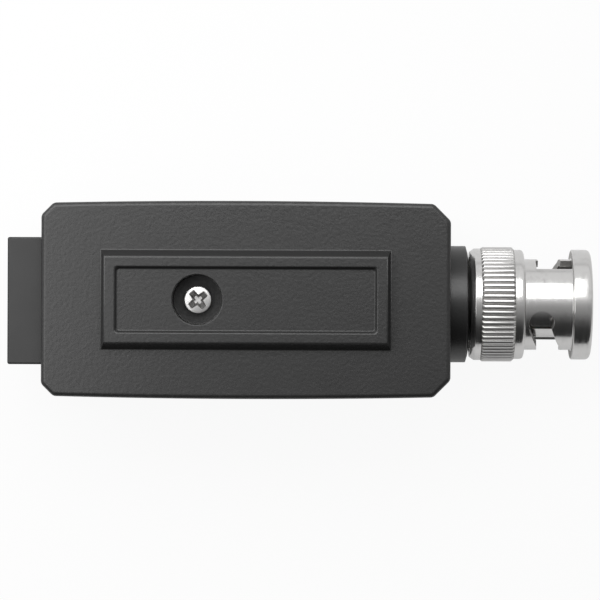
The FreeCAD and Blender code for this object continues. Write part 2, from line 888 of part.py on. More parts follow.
def bayonet_collar():
    """The turned collar: knurl, slotted barrel, front flange, and the cavity for the spring stack."""
    tail = collar_tail_x
    front = collar_front_x
    step = tail + step_from_tail
    flange_x = front - flange_length
    groove_front = ring_front_x + ring_groove_clearance
    groove_back = ring_front_x - ring_thickness - ring_groove_clearance
    cavity_end = shoulder_front_x + running_gap
    collar = turned([
        (tail, cavity_radius),
        (groove_back, cavity_radius),
        (groove_back, cavity_radius + ring_groove_depth),
        (groove_front, cavity_radius + ring_groove_depth),
        (groove_front, cavity_radius),
        (cavity_end, cavity_radius),
        (cavity_end, bore_radius),
        (front - mouth_cut, bore_radius),
        (front, bore_radius + mouth_cut),
        (front, flange_radius, flange_front_round),
        (flange_x, flange_radius, flange_back_round),
        (flange_x, barrel_radius),
        (step, barrel_radius),
        (step, collar_body_radius, step_round),
        (tail + knurl_from_tail, collar_body_radius),
        (tail + knurl_from_tail, collar_land_radius),
        (tail + collar_tail_cut, collar_land_radius),
        (tail, collar_tail_radius, collar_tail_round),
    ])
    hollow = [rod(tail, cavity_end, cavity_radius), rod(tail, front, bore_radius)]
    collar = fuse(collar, knurl().cut(hollow))
    for turn in (0, 180):
        for cutter in bayonet_slot():
            collar = collar.cut(cutter.rotated(plug_axis, Vector(1, 0, 0), turn))
    return collar


def thrust_washer():
    """The flat washer that the collar pushes on the spring."""
    outer = cavity_radius - washer_clearance
    return ring(washer_back_x, washer_front_x, waist_radius + washer_clearance, outer)


def snap_ring():
    """The split ring that holds the washer in the collar."""
    outer = cavity_radius + ring_groove_depth - ring_groove_clearance
    closed = ring(ring_front_x - ring_thickness, ring_front_x, ring_inner_radius, outer)
    gap = block((ring_front_x - past, -ring_gap / 2, 0), (ring_front_x + past, ring_gap / 2, outer + past))
    return closed.cut(gap.translated(plug_axis))


def wave_spring():
    """The wave washer between the plug body's shoulder and the thrust washer."""
    swing = (spring_height - spring_thickness) / 2
    middle = washer_front_x + swing

    def wave(radius):
        samples = spring_waves * points_per_wave
        points = []
        for i in range(samples):
            angle = 2 * math.pi * i / samples
            x = middle + swing * math.cos(spring_waves * angle)
            points.append(plug_axis + Vector(x, radius * math.sin(angle), radius * math.cos(angle)))
        curve = Part.BSplineCurve()
        curve.interpolate(points, PeriodicFlag=True)
        return curve.toShape()

    inner = wave(waist_radius + spring_clearance)
    outer = wave(cavity_radius - spring_clearance)
    return Part.makeRuledSurface(inner, outer).extrude(Vector(spring_thickness, 0, 0))


def component_rows():
    """The middle of each leaded part: name, x, y and half the spacing of its leads along X."""
    resistor_half = resistor_length / 2 + lead_reach
    diode_half = diode_length / 2 + lead_reach
    small_x = jack_back_x + small_parts_gap + lead_thickness / 2 + resistor_half
    diode_back = small_x + resistor_half + lead_thickness + 2 * (post_gap + post_radius)
    diode_x = diode_back + lead_thickness / 2 + diode_half
    return {
        "diode_left": (diode_x, -part_row_y, diode_half),
        "diode_right": (diode_x, part_row_y, diode_half),
        "resistor": (small_x, part_row_y, resistor_half),
        "capacitor": (small_x, -part_row_y, capacitor_lead_gap / 2),
    }


def component_lead_places():
    """Where the leaded parts' wires go through the board."""
    places = []
    for x, y, half in component_rows().values():
        places += [(x - half, y), (x + half, y)]
    return places


def axial_part(name, radius, length):
    """A round part lying over the board on two bent leads."""
    x, y, half = component_rows()[name]
    z = board_top_z + component_lift + radius
    body = Part.makeCylinder(radius, length, Vector(x - length / 2, y, z), Vector(1, 0, 0))
    body = body.makeFillet(radius * axial_end_round_share, round_edges(body))
    low = board_z - lead_below_board
    path = [(x - half, low), (x - half, z), (x + half, z), (x + half, low)]
    return fuse(body, bent_strip(path, lead_thickness, lead_thickness, lead_bend, y))


def surge_diodes():
    """Two surge diodes, as separate solids of one group."""
    pair = [axial_part(name, diode_radius, diode_length) for name in ("diode_left", "diode_right")]
    return Part.makeCompound(pair)


def termination_resistor():
    """The resistor across the line."""
    return axial_part("resistor", resistor_radius, resistor_length)


def disc_capacitor():
    """A ceramic disc standing on its two wires."""
    x, y, half = component_rows()["capacitor"]
    z = board_top_z + component_lift + capacitor_radius
    disc = Part.makeCylinder(
        capacitor_radius, capacitor_thickness, Vector(x, y - capacitor_thickness / 2, z), Vector(0, 1, 0)
    )
    disc = disc.makeFillet(capacitor_thickness * disc_round_share, round_edges(disc))
    low = board_z - lead_below_board
    high = z - capacitor_lead_drop
    splay = capacitor_lead_splay
    path = [(x - half, low), (x - half, high - splay), (x - splay, high)]
    path += [(x + splay, high), (x + half, high - splay), (x + half, low)]
    return fuse(disc, bent_strip(path, lead_thickness, lead_thickness, capacitor_lead_bend, y))


def toroid_core():
    """The balun's ferrite ring, flat over the board."""
    x = screw_x + core_from_screw
    low = board_top_z + winding_wire + winding_clearance
    high = low + core_height
    core = post(x, 0, low, high, core_radius).cut(post(x, 0, low - past, high + past, core_bore))
    return core.makeChamfer(core_edge_cut, at_height(core, low) + at_height(core, high))


def toroid_windings():
    """The turns of both windings, as separate loops round the ring."""
    x = screw_x + core_from_screw
    low = board_top_z
    high = low + core_height + 2 * (winding_wire + winding_clearance)
    near = core_bore - winding_clearance
    far = core_radius + winding_clearance
    half = winding_wire / 2
    outer = block((near - winding_wire, -half, low), (far + winding_wire, half, high))
    inner = block((near, -past, low + winding_wire), (far, past, high - winding_wire))
    loop = outer.cut(inner)
    turns = []
    for side in (0, 180):
        for i in range(winding_turns):
            angle = side + (i - (winding_turns - 1) / 2) * winding_angle
            turns.append(loop.rotated(Vector(0, 0, 0), Vector(0, 0, 1), angle).translated(Vector(x, 0, 0)))
    return Part.makeCompound(turns)


def wire_through(points):
    """A round wire along runs joined by tangent arcs."""
    corners = [(Vector(*point), wire_bend) for point in points]
    first = corners[0][0]
    circle = Part.Wire(Part.makeCircle(wire_radius, first, corners[1][0] - first))
    return Part.Wire(rounded_edges(corners, False)).makePipeShell([circle], True, True)


def signal_lead():
    """The wire from the centre pin's tail down to the board."""
    return wire_through([
        (pin_tail_x, plug_off_centre, seam_height),
        (*signal_hole, seam_height),
        (*signal_hole, board_z - wire_end_past_board),
    ])


def ground_lead():
    """The wire from the lug's tail to the board."""
    return wire_through([
        (nut_front_x, ground_lead_y, seam_height),
        (nut_back_x - ground_lead_run, ground_lead_y, seam_height),
        (*ground_hole, seam_height),
        (*ground_hole, board_z - wire_end_past_board),
    ])


parts = {
    "upper_shell": upper_shell,
    "lower_shell": lower_shell,
    "case_screw": case_screw,
    "circuit_board": circuit_board,
    "jack_housing": jack_housing,
    "jack_contacts": jack_contacts,
    "contact_carrier": contact_carrier,
    "neck_bush": neck_bush,
    "plug_body": plug_body,
    "outer_contact": outer_contact,
    "dielectric": dielectric,
    "centre_pin": centre_pin,
    "front_gasket": front_gasket,
    "rear_nut": rear_nut,
    "ground_lug": ground_lug,
    "bayonet_collar": bayonet_collar,
    "thrust_washer": thrust_washer,
    "snap_ring": snap_ring,
    "wave_spring": wave_spring,
    "toroid_core": toroid_core,
    "toroid_windings": toroid_windings,
    "surge_diodes": surge_diodes,
    "termination_resistor": termination_resistor,
    "disc_capacitor": disc_capacitor,
    "signal_lead": signal_lead,
    "ground_lead": ground_lead,
}

os.makedirs("parts", exist_ok=True)
for name, make in parts.items():
    shape = make()
    box = shape.BoundBox
    print(
        name, "solids", len(shape.Solids), "valid", shape.isValid(), "volume", round(shape.Volume, 2),
        "x %.2f %.2f y %.2f %.2f z %.2f %.2f" % (box.XMin, box.XMax, box.YMin, box.YMax, box.ZMin, box.ZMax),
    )
    shape.exportStep("parts/" + name + ".step")
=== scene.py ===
import math

import bmesh
import bpy
from mathutils import Matrix, Vector


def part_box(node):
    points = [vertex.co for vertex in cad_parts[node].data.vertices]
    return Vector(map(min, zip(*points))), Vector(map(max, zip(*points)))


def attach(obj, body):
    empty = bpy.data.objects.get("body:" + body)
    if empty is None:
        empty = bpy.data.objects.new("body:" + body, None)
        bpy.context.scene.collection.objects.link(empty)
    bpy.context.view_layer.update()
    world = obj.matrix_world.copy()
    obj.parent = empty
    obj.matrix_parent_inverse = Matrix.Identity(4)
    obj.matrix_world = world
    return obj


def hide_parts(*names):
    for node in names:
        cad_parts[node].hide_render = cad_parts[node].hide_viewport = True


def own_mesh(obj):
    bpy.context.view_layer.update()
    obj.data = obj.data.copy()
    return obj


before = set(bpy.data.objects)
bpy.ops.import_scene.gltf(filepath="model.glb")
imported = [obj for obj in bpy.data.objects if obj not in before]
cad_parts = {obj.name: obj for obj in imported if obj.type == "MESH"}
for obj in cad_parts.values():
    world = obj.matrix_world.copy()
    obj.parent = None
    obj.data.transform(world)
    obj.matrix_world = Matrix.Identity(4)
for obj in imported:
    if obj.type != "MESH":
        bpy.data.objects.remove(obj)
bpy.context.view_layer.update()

bl_info = {
    "name": "Video balun",
    "version": (1, 0, 0),
    "blender": (4, 5, 0),
    "location": "3D View > Sidebar > Balun",
    "description": "Models a camera's video balun round its construction: case, jack, plug, board and stage",
    "category": "Object",
}

# Metres, in the frame of the construction: +X from the jack to the plug, +Z up through the panel
MM = 0.001

# Two points closer than this are one point
SAME = 1e-6

# A cutter runs this far past the face that it opens
PAST = 0.5 * MM

# A hair's step, so that no two faces lie in one plane
HAIR = 0.01 * MM

# The rounding of a small moulded or turned edge
BREAK = 0.1 * MM


def linear(hex_colour):
    """An sRGB hex colour as linear red, green, blue and alpha."""
    channels = []
    for start in (1, 3, 5):
        value = int(hex_colour[start:start + 2], 16) / 255
        channels.append(value / 12.92 if value <= 0.04045 else ((value + 0.055) / 1.055) ** 2.4)
    return (*channels, 1.0)


def length(name, description, millimetres):
    """A length that the user may change, in metres, from its value in millimetres."""
    return bpy.props.FloatProperty(
        name=name, description=description, default=millimetres * MM, unit="LENGTH", precision=5
    )


def angle(name, description, degrees):
    """An angle that the user may change, from its value in degrees."""
    return bpy.props.FloatProperty(
        name=name, description=description, default=math.radians(degrees), unit="ROTATION"
    )


def count(name, description, number):
    """A number of repeats that the user may change."""
    return bpy.props.IntProperty(name=name, description=description, default=number, min=1)


def amount(name, description, value):
    """A plain number that the user may change."""
    return bpy.props.FloatProperty(name=name, description=description, default=value)


def colour(name, description, hex_colour):
    """A colour that the user may change, from its sRGB hex value."""
    return bpy.props.FloatVectorProperty(
        name=name, description=description, default=linear(hex_colour), size=4, subtype="COLOR", min=0, max=1
    )


class CaseSizes(bpy.types.PropertyGroup):
    """Sizes of the moulded case."""
    wall: length("Wall", "Thickness of the case's walls", 1.8)
    crown: length("Crown", "How far the long sides bulge at their middle", 0.28)
    corner_cut_jack: length("Corner cut, jack end", "Leg of the cut corners beside the jack", 1.55)
    corner_cut_plug: length("Corner cut, plug end", "Leg of the cut corners beside the plug", 2.15)
    corner_round: length("Corner round", "Radius of the upright edges", 0.8)
    rim_round: length("Rim round", "Radius of the edge round the top and the underside", 0.6)
    seam_cut: length("Seam cut", "Chamfer along the parting line", 0.15)
    lip_height: length("Lip height", "How far the lower half's lip stands into the upper half", 1.2)
    lip_thickness: length("Lip thickness", "Thickness of that lip", 0.8)
    lip_clearance: length("Lip clearance", "Air between the lip and its rebate", 0.1)
    panel_length: length("Panel length", "Length of the raised panel at its foot", 36.1)
    panel_width: length("Panel width", "Width of the raised panel at its foot", 12.4)
    panel_height: length("Panel height", "How far the panel stands up", 1.3)
    panel_end_run: length("Panel end run", "How far the panel's end walls lean in", 0.35)
    panel_side_run: length("Panel side run", "How far the panel's long walls lean in", 0.8)
    panel_foot: length("Panel foot", "Height of the hollow curve at the panel's foot", 0.12)
    panel_rim: length("Panel rim", "Height of the rounding along the panel's top edge", 0.2)
    field_length: length("Field length", "Length of the sunk field in the panel", 32.7)
    field_width: length("Field width", "Width of the sunk field", 8.25)
    field_depth: length("Field depth", "Depth of the sunk field", 0.45)
    field_run: length("Field run", "How far the field's walls lean in", 0.25)
    field_corner: length("Field corner", "Radius of the field's corners", 0.3)
    pocket_radius: length("Pocket radius", "Radius of the screw's pocket", 3.1)
    pocket_round: length("Pocket round", "Rounding of the pocket's rim", 0.2)
    pocket_wall: length("Pocket wall", "Wall of the tube below the pocket", 1.2)
    pocket_floor: length("Pocket floor", "Thickness under the screw's head", 1.4)
    boss_radius: length("Boss radius", "Radius of the boss that the screw bites in", 2.5)
    post_radius: length("Post radius", "Radius of the posts under the board", 1.3)
    peg_radius: length("Peg radius", "Radius of the pegs through the board", 0.75)
    peg_round: length("Peg round", "Rounding of the pegs' ends", 0.15)
    post_from_end: length("Post from board end", "From the board's front end to its nearer posts", 2.2)
    post_spacing: length("Post spacing", "Between the two pairs of posts", 18.02)
    window_clearance: length("Window clearance", "Air round the jack and the bush's groove", 0.1)


class ScrewSizes(bpy.types.PropertyGroup):
    """Sizes of the case screw."""
    head_height: length("Head height", "Height of the pan head", 1.4)
    head_round: length("Head round", "Rounding of the head's edge", 0.12)
    head_under: length("Head under round", "Rounding of the head's lower edge", 0.12)
    head_crown: length("Head crown", "How far the head's middle stands over its edge", 0.16)
    shank: length("Shank radius", "Radius over the thread's crests", 0.95)
    core: length("Core radius", "Radius at the thread's root", 0.68)
    pitch: length("Pitch", "Distance from one turn of the thread to the next", 0.8)
    tip: length("Tip", "Length of the tapered tip", 0.9)
    tip_radius: length("Tip radius", "Radius of the tip's end", 0.2)
    hole_air: length("Hole air", "Air round the shank in the pocket's floor", 0.25)
    cross_span: length("Cross span", "From one end of an arm of the recess to the other", 2.75)
    cross_width: length("Cross width", "Width of an arm of the recess", 0.72)
    cross_depth: length("Cross depth", "Depth of the recess", 1.0)
    cross_angle: angle("Cross angle", "How far the recess is turned", 39.0)


class JackSizes(bpy.types.PropertyGroup):
    """Sizes of the modular jack."""
    edge_round: length("Edge round", "Rounding of the housing's edges", 0.25)
    top_wall: length("Top wall", "Thickness over the contact wires", 1.3)
    port_width: length("Port width", "Width of the port", 11.9)
    port_height: length("Port height", "Height of the port", 6.8)
    port_depth: length("Port depth", "Depth of the port", 11.6)
    port_flare: length("Port flare", "Lead-in round the port's mouth", 0.3)
    latch_width: length("Latch width", "Width of the way for the latch", 6.2)
    latch_height: length("Latch height", "Height of the way for the latch", 1.6)
    key_width: length("Key width", "Width of the lower step of that way", 3.4)
    key_height: length("Key height", "Height of the lower step", 1.0)
    wire: length("Wire", "Thickness of the contact wires", 0.4)
    wire_pitch: length("Wire pitch", "From one contact wire to the next", 1.02)
    wire_count: count("Wires", "How many contact wires the jack has", 8)
    bed_gap: length("Bed gap", "Room beside the outermost wires", 0.51)
    bed_from_front: length("Bed from front", "From the front face to the wires' bed", 0.9)
    peg_radius: length("Peg radius", "Radius of the two pegs into the board", 1.55)
    peg_spacing: length("Peg spacing", "Between the two pegs", 11.4)
    peg_from_front: length("Peg from front", "From the front face to the pegs", 8.9)
    peg_round: length("Peg round", "Rounding of the pegs' ends", 0.4)


class PlugSizes(bpy.types.PropertyGroup):
    """Sizes of the bush and the plug's fixed pieces."""
    bush_nose_cut: length("Bush nose cut", "Length of the bush's front bevel", 0.22)
    bush_nose: length("Bush nose radius", "Radius of the bush's front face", 6.65)
    bush_edge: length("Bush edge", "Rounding of the bush's front edge", 0.1)
    bush_groove: length("Bush groove radius", "Radius that the case's wall closes on", 6.0)
    bush_flange: length("Bush flange radius", "Radius of the flange inside the case", 7.0)
    bush_bore: length("Bush bore", "Radius of the hole through the bush", 4.0)
    stem: length("Stem radius", "Radius of the plug body's stem", 3.95)
    stem_bore: length("Stem bore", "Radius of the hole through the stem", 2.2)
    stem_end: length("Stem end round", "Rounding of the stem's end inside the case", 0.3)
    waist: length("Waist radius", "Radius under the spring stack", 4.6)
    shoulder_length: length("Shoulder length", "Length of the shoulder that the collar turns on", 1.2)
    edge: length("Turned edge", "Break on turned edges", 0.12)
    sleeve_wall: length("Sleeve wall", "Wall of the slotted contact sleeve", 0.65)
    sleeve_root: length("Sleeve root radius", "Outer radius of the sleeve where it is pressed in", 3.95)
    sleeve_slot_width: length("Slot width", "Width of the sleeve's slots", 0.4)
    sleeve_slot_length: length("Slot length", "Length of the sleeve's slots", 6.4)
    sleeve_slots: count("Slots", "How many slots the sleeve has", 4)
    sleeve_tip: length("Sleeve tip round", "Rounding of the fingers' ends", 0.2)
    tube_inner: length("Insulator tube bore", "Radius of the bore round the pin", 2.48)
    tube_outer: length("Insulator tube radius", "Outer radius of the insulator's tube", 3.4)
    tube_depth: length("Insulator tube depth", "From the tube's end to the face round the pin", 5.0)
    tube_round: length("Insulator tube round", "Rounding of the tube's end", 0.12)
    pin_rear: length("Pin rear radius", "Radius of the pin inside the insulator", 1.05)
    pin: length("Pin radius", "Radius of the pin", 0.675)
    pin_taper: length("Pin taper", "Length of the pin's tapered tip", 0.9)
    pin_tip: length("Pin tip radius", "Radius of the pin's very end", 0.27)
    pin_blend: length("Pin blend", "Rounding where the pin starts to taper", 0.4)
    pin_tail: length("Pin tail round", "Rounding of the pin's solder tail", 0.15)
    seal_round: length("Seal round", "Rounding of the gasket's outer edges", 0.2)


class CollarSizes(bpy.types.PropertyGroup):
    """Sizes of the bayonet collar and the spring stack in it."""
    tail: length("Tail radius", "Radius of the collar's rear edge", 6.7)
    tail_cut: length("Tail cut", "Length of the rear edge's bevel", 0.58)
    tail_round: length("Tail round", "Rounding of the rear edge", 0.04)
    land: length("Land radius", "Radius of the land behind the knurl", 7.1)
    body: length("Body radius", "Radius in front of the knurl", 6.95)
    knurl_from_tail: length("Knurl from tail", "From the rear edge to the knurl", 1.35)
    knurl_length: length("Knurl length", "Length of the knurl", 4.25)
    knurl_crest: length("Knurl crest", "Radius over the ridges", 7.28)
    knurl_root: length("Knurl root", "Radius between the ridges", 7.01)
    ridges: count("Ridges", "How many ridges the knurl has", 64)
    step_from_tail: length("Step from tail", "From the rear edge to the step", 6.83)
    step_round: length("Step round", "Rounding of the step's edge", 0.45)
    barrel: length("Barrel radius", "Radius of the slotted barrel", 5.77)
    barrel_round: length("Barrel round", "Rounding at both ends of the barrel", 0.15)
    flange_length: length("Flange length", "Length of the front flange", 2.4)
    flange: length("Flange radius", "Radius of the front flange", 6.99)
    flange_front: length("Flange front round", "Rounding of the flange's front edge", 0.6)
    flange_back: length("Flange back round", "Rounding of the flange's rear edge", 0.16)
    bore: length("Bore", "Radius of the bore that takes the jack's shell", 4.9)
    mouth: length("Mouth cut", "Chamfer at the collar's mouth", 0.3)
    cavity: length("Cavity radius", "Radius of the hollow for the spring stack", 6.1)
    cavity_end: length("Cavity end", "From the rear edge to the cavity's end", 3.42)
    groove_radius: length("Groove radius", "Radius of the snap ring's groove", 6.45)
    groove_air: length("Groove air", "Air at each side of the snap ring", 0.05)
    rim_break: length("Slot rim break", "Chamfer round the bayonet slots", 0.03)
    detent: length("Detent radius", "Radius of the hole that a stud drops into", 1.58)
    detent_from_tail: length("Detent from tail", "From the rear edge to the detent's middle", 8.92)
    detent_angle: angle("Detent angle", "From the top towards -Y", 24.5)
    entry_angle: angle("Entry angle", "From the top towards -Y", 117.3)
    entry_from_tail: length("Entry from tail", "From the rear edge to the way in", 8.35)
    entry_width: length("Entry width", "Width of the way in", 2.3)
    ramp_start: length("Ramp start", "From the rear edge to the ramp's end at the detent", 8.75)
    ramp_knee: length("Ramp knee", "From the rear edge to where the ramp levels out", 9.87)
    ramp_end: length("Ramp end", "From the rear edge to the ramp's end at the entry", 10.15)
    ramp_angle: angle("Ramp angle", "From the top towards -Y to the ramp's start", 32.0)
    knee_angle: angle("Knee angle", "From the top towards -Y to where it levels out", 68.0)
    ramp_width: length("Ramp width", "Width of the ramp", 2.85)
    stud_reach: length("Stud reach", "Radius that the studs reach to", 5.62)
    spring_wire: length("Spring thickness", "Thickness of the wave spring", 0.2)
    spring_air: length("Spring air", "Air between the waist and the spring", 0.2)
    spring_waves: count("Waves", "How many waves the spring has", 3)


class FinishColours(bpy.types.PropertyGroup):
    """Colours of the finishes."""
    case: colour("Case", "Moulded case", "#1D1D1D")
    jack: colour("Jack", "Jack housing", "#131313")
    bush: colour("Bush", "Neck bush", "#1B1B1B")
    nickel: colour("Nickel", "Nickel plate on the plug", "#D1D0CF")
    # Painted shade for the waist in the gap behind the collar
    milled: colour("Milled nickel", "Plate in the bore and the slots", "#A9A8A6")
    # Grime in the plain plate's random stains, and painted shade between the knurl's ridges
    grime_and_valley_shade: colour("Grime and valley shade", "What settles between the ridges", "#A4A3A1")
    waist_shade: colour("Waist shade", "Film on the waist under the collar", "#1E1D1C")
    steel: colour("Steel", "Screw and spring stack", "#DAD9D8")
    # Painted shade for the walls of the screw's recess
    recess_shaded_steel: colour("Steel with painted recess shade", "Walls of the screw's recess", "#A4A3A2")
    gold: colour("Gold", "Contacts", "#D9B26A")
    insulator: colour("Insulator", "White insulator", "#E9E6DE")
    gasket: colour("Gasket", "Silicone gasket", "#8E2B20")
    board: colour("Board", "Solder mask", "#1E5A34")
    track: colour("Track", "Copper under the mask", "#3C8350")
    ferrite: colour("Ferrite", "Transformer core", "#3A3B3E")
    enamel: colour("Enamel", "Winding wire", "#A8552A")
    epoxy: colour("Epoxy", "Diode bodies", "#1C1C1E")
    band: colour("Band", "Cathode bands", "#C8C8C6")
    dip: colour("Dip", "Dipped capacitor", "#3D6FA8")
    resistor: colour("Resistor", "Lacquered resistor", "#C7B48C")
    jacket: colour("Jacket", "Hook-up wire", "#8F8F8C")
    floor: colour("Floor", "Floor", "#D6D6D6")


class StageSizes(bpy.types.PropertyGroup):
    """Camera, lamp and floor."""
    camera_distance: length("Camera distance", "From the plug's axis up to the camera", 450.0)
    view_width: length("View width", "Width of the picture at the plug's axis", 76.43)
    camera_aside: length("Camera aside", "From the object's middle to the camera along X", -0.075)
    camera_up: length("Camera up", "From the object's middle to the camera along Y", 0.025)
    camera_roll: angle("Camera roll", "How far the object lies turned in the picture", 0.235)
    lamp_distance: length("Lamp distance", "From the plug's axis to the soft lamp", 120.0)
    lamp_tilt: angle("Lamp tilt", "From straight up towards +Y", 34.3)
    lamp_aside: length("Lamp aside", "From the object's middle to the lamp's along X", -65.0)
    lamp_length: length("Lamp length", "Length of the lamp along X", 230.0)
    lamp_width: length("Lamp width", "Width of the lamp across its tilt", 76.0)
    side_aside: length("Side lamp aside", "From the object's middle to the small side lamp along X", -60.0)
    side_near: length("Side lamp near", "From the plug's axis to the side lamp along Y", -6.0)
    side_up: length("Side lamp up", "From the plug's axis up to the side lamp", 70.0)
    side_width: length("Side lamp width", "Width of the side lamp", 50.0)
    floor_size: length("Floor size", "Side of the floor", 6000.0)
    lamp_watts: amount("Lamp power", "Power of the lamp in watts", 0.19)
    side_watts: amount("Side power", "Power of the side lamp in watts", 0.02)
    studio_glow: amount("Studio glow", "Strength of the studio's own light", 1.0)
    floor_glow: amount("Floor glow", "Share of the floor that is seen as plain white", 0.93)
    floor_mirrored: amount("Floor mirrored", "Share that the metal mirrors as plain white", 0.45)


def axis_through(node):
    """The plug's axis, from the middle of a ring that lies round it."""
    low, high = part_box(node)
    return Vector((0, (low.y + high.y) / 2, (low.z + high.z) / 2))


AXIS = axis_through("thrust_washer")
SEAM_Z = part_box("upper_shell")[0].z


def off_axis(point):
    """How far a point lies from the plug's axis."""
    return (point - AXIS).yz.length


def outer_radius(node):
    """The radius of a node that lies round the plug's axis."""
    low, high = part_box(node)
    return (high.z - low.z) / 2


def take(piece):
    """Select only this piece and make it the active one."""
    bpy.ops.object.select_all(action="DESELECT")
    piece.select_set(True)
    bpy.context.view_layer.objects.active = piece


def shape(piece):
    """Put a piece's place in its mesh and open it for shaping."""
    take(piece)
    bpy.ops.object.transform_apply(location=True, rotation=True, scale=True)
    bpy.ops.object.mode_set(mode="EDIT")


def begin(name):
    """Name the primitive that was just added and open it for shaping."""
    piece = bpy.context.object
    piece.name = name
    shape(piece)
    return piece


def leave():
    """Close the piece that is being shaped."""
    bpy.ops.object.mode_set(mode="OBJECT")


def centre(item):
    """The middle of a vertex, edge or face."""
    if isinstance(item, bmesh.types.BMVert):
        return item.co
    return sum((vertex.co for vertex in item.verts), Vector()) / len(item.verts)


def span(edge):
    """The run of an edge from one end to the other, without its sign."""
    run = edge.verts[1].co - edge.verts[0].co
    return Vector(abs(part) for part in run)


def pick(piece, kind, test):
    """Select only the vertices, edges or faces of the open piece that pass a test."""
    bpy.ops.mesh.select_mode(type=kind)
    bpy.ops.mesh.select_all(action="DESELECT")
    mesh = bmesh.from_edit_mesh(piece.data)
    for item in {"VERT": mesh.verts, "EDGE": mesh.edges, "FACE": mesh.faces}[kind]:
        if test(item):
            item.select_set(True)
    mesh.select_flush_mode()
    bmesh.update_edit_mesh(piece.data)


def upright(edge):
    """Whether an edge stands straight up."""
    run = span(edge)
    return run.z > SAME and run.x < SAME and run.y < SAME


def level(edge, z):
    """Whether an edge lies wholly at a height."""
    return all(abs(vertex.co.z - z) < SAME for vertex in edge.verts)


def bevel(offset, segments):
    """Bevel the edges that are selected."""
    bpy.ops.mesh.bevel(
        offset_type="OFFSET", offset=offset, segments=segments, affect="EDGES", clamp_overlap=False
    )


def close_skin():
    """Merge the doubles of the open piece and point its faces outwards."""
    bpy.ops.mesh.select_all(action="SELECT")
    bpy.ops.mesh.remove_doubles(threshold=SAME / 4)
    bpy.ops.mesh.normals_make_consistent(inside=False)


def rounded(corners, steps=6):
    """The points of a closed outline of (along, out, corner radius), each radius drawn as short runs."""
    line = []
    for i, (along, out, radius) in enumerate(corners):
        here = Vector((along, out))
        if radius <= 0:
            line.append(here)
            continue
        before = (Vector(corners[i - 1][:2]) - here).normalized()
        after = (Vector(corners[(i + 1) % len(corners)][:2]) - here).normalized()
        half = before.angle(after) / 2
        middle = here + (before + after).normalized() * (radius / math.sin(half))
        start = here + before * (radius / math.tan(half)) - middle
        sweep = math.copysign(math.pi - 2 * half, before.cross(after))
        for step in range(steps + 1):
            line.append(middle + Matrix.Rotation(-sweep * step / steps, 2) @ start)
    return line


def chain(name, points):
    """A closed line of edges, from a plane merged to one vertex and extruded from point to point."""
    bpy.ops.mesh.primitive_plane_add(size=MM)
    piece = begin(name)
    bpy.ops.mesh.select_mode(type="VERT")
    bpy.ops.mesh.merge(type="CENTER")
    bpy.ops.transform.translate(value=points[0])
    for here, there in zip(points, points[1:]):
        bpy.ops.mesh.extrude_region_move(TRANSFORM_OT_translate={"value": there - here})
    pick(piece, "VERT", lambda vertex: len(vertex.link_edges) == 1)
    bpy.ops.mesh.edge_face_add()
    bpy.ops.mesh.select_all(action="SELECT")
    return piece


def spun(name, corners, steps=96):
    """A turned solid about the plug's axis, from an outline of (x, radius, corner radius)."""
    piece = chain(name, [Vector((x, AXIS.y, AXIS.z + radius)) for x, radius in rounded(corners)])
    bpy.ops.mesh.spin(steps=steps, angle=2 * math.pi, center=AXIS, axis=(1, 0, 0))
    close_skin()
    leave()
    return piece


def rod(name, back, front, radius, steps=96):
    """A plain round along the plug's axis, as a cutter."""
    return spun(name, [(back, 0, 0), (back, radius, 0), (front, radius, 0), (front, 0, 0)], steps)


def spun_upright(name, x, y, corners, steps=64):
    """A turned solid about an upright axis, from an outline of (z, radius, corner radius)."""
    piece = chain(name, [Vector((x + radius, y, z)) for z, radius in rounded(corners)])
    bpy.ops.mesh.spin(steps=steps, angle=2 * math.pi, center=(x, y, 0), axis=(0, 0, 1))
    close_skin()
    leave()
    return piece


def post(name, x, y, bottom, top, radius):
    """A plain upright round, as a cutter or as a part of a moulding."""
    return spun_upright(name, x, y, [(bottom, 0, 0), (bottom, radius, 0), (top, radius, 0), (top, 0, 0)])


def block(name, low, high):
    """A box between two corners."""
    low = Vector(low)
    high = Vector(high)
    bpy.ops.mesh.primitive_cube_add(size=1, location=(low + high) / 2, scale=high - low)
    piece = begin(name)
    leave()
    return piece


def stack(name, x, y, rungs, corner=0.0):
    """A block of rectangles over each other, each a (length, width, height), with its corners rounded."""
    long, wide, z = rungs[0]
    bpy.ops.mesh.primitive_plane_add(size=1, location=(x, y, z))
    piece = begin(name)
    bpy.ops.transform.resize(value=(long, wide, 1), center_override=(x, y, z))
    for here, there in zip(rungs, rungs[1:]):
        rise = there[2] - here[2]
        bpy.ops.mesh.extrude_region_move(TRANSFORM_OT_translate={"value": (0, 0, rise)})
        change = (there[0] / here[0], there[1] / here[1], 1)
        bpy.ops.transform.resize(value=change, center_override=(x, y, there[2]))
    close_skin()
    if corner:
        pick(piece, "EDGE", lambda edge: span(edge).z > SAME)
        bevel(corner, segments=4)
    leave()
    return piece


def wind(steps, turn, rise, spindle, middle):
    """Extrude what is selected round an axis and along it, in equal steps."""
    for _ in range(steps):
        bpy.ops.mesh.extrude_region_move(TRANSFORM_OT_translate={"value": rise / steps})
        # With no window the operator turns the other way, so the angle is negative.
        bpy.ops.transform.rotate(
            value=-turn / steps, orient_axis=spindle, orient_type="GLOBAL", center_override=middle
        )


def modify(piece, kind, **settings):
    """Add a modifier with its settings to a piece and apply it."""
    take(piece)
    bpy.ops.object.modifier_add(type=kind)
    modifier = piece.modifiers[-1]
    for name, value in settings.items():
        setattr(modifier, name, value)
    bpy.ops.object.modifier_apply(modifier=modifier.name)


def combine(piece, operation, *tools):
    """Cut tools out of a piece or join them to it, and use them up."""
    for tool in tools:
        modify(piece, "BOOLEAN", operation=operation, solver="EXACT", object=tool)
        bpy.data.objects.remove(tool)


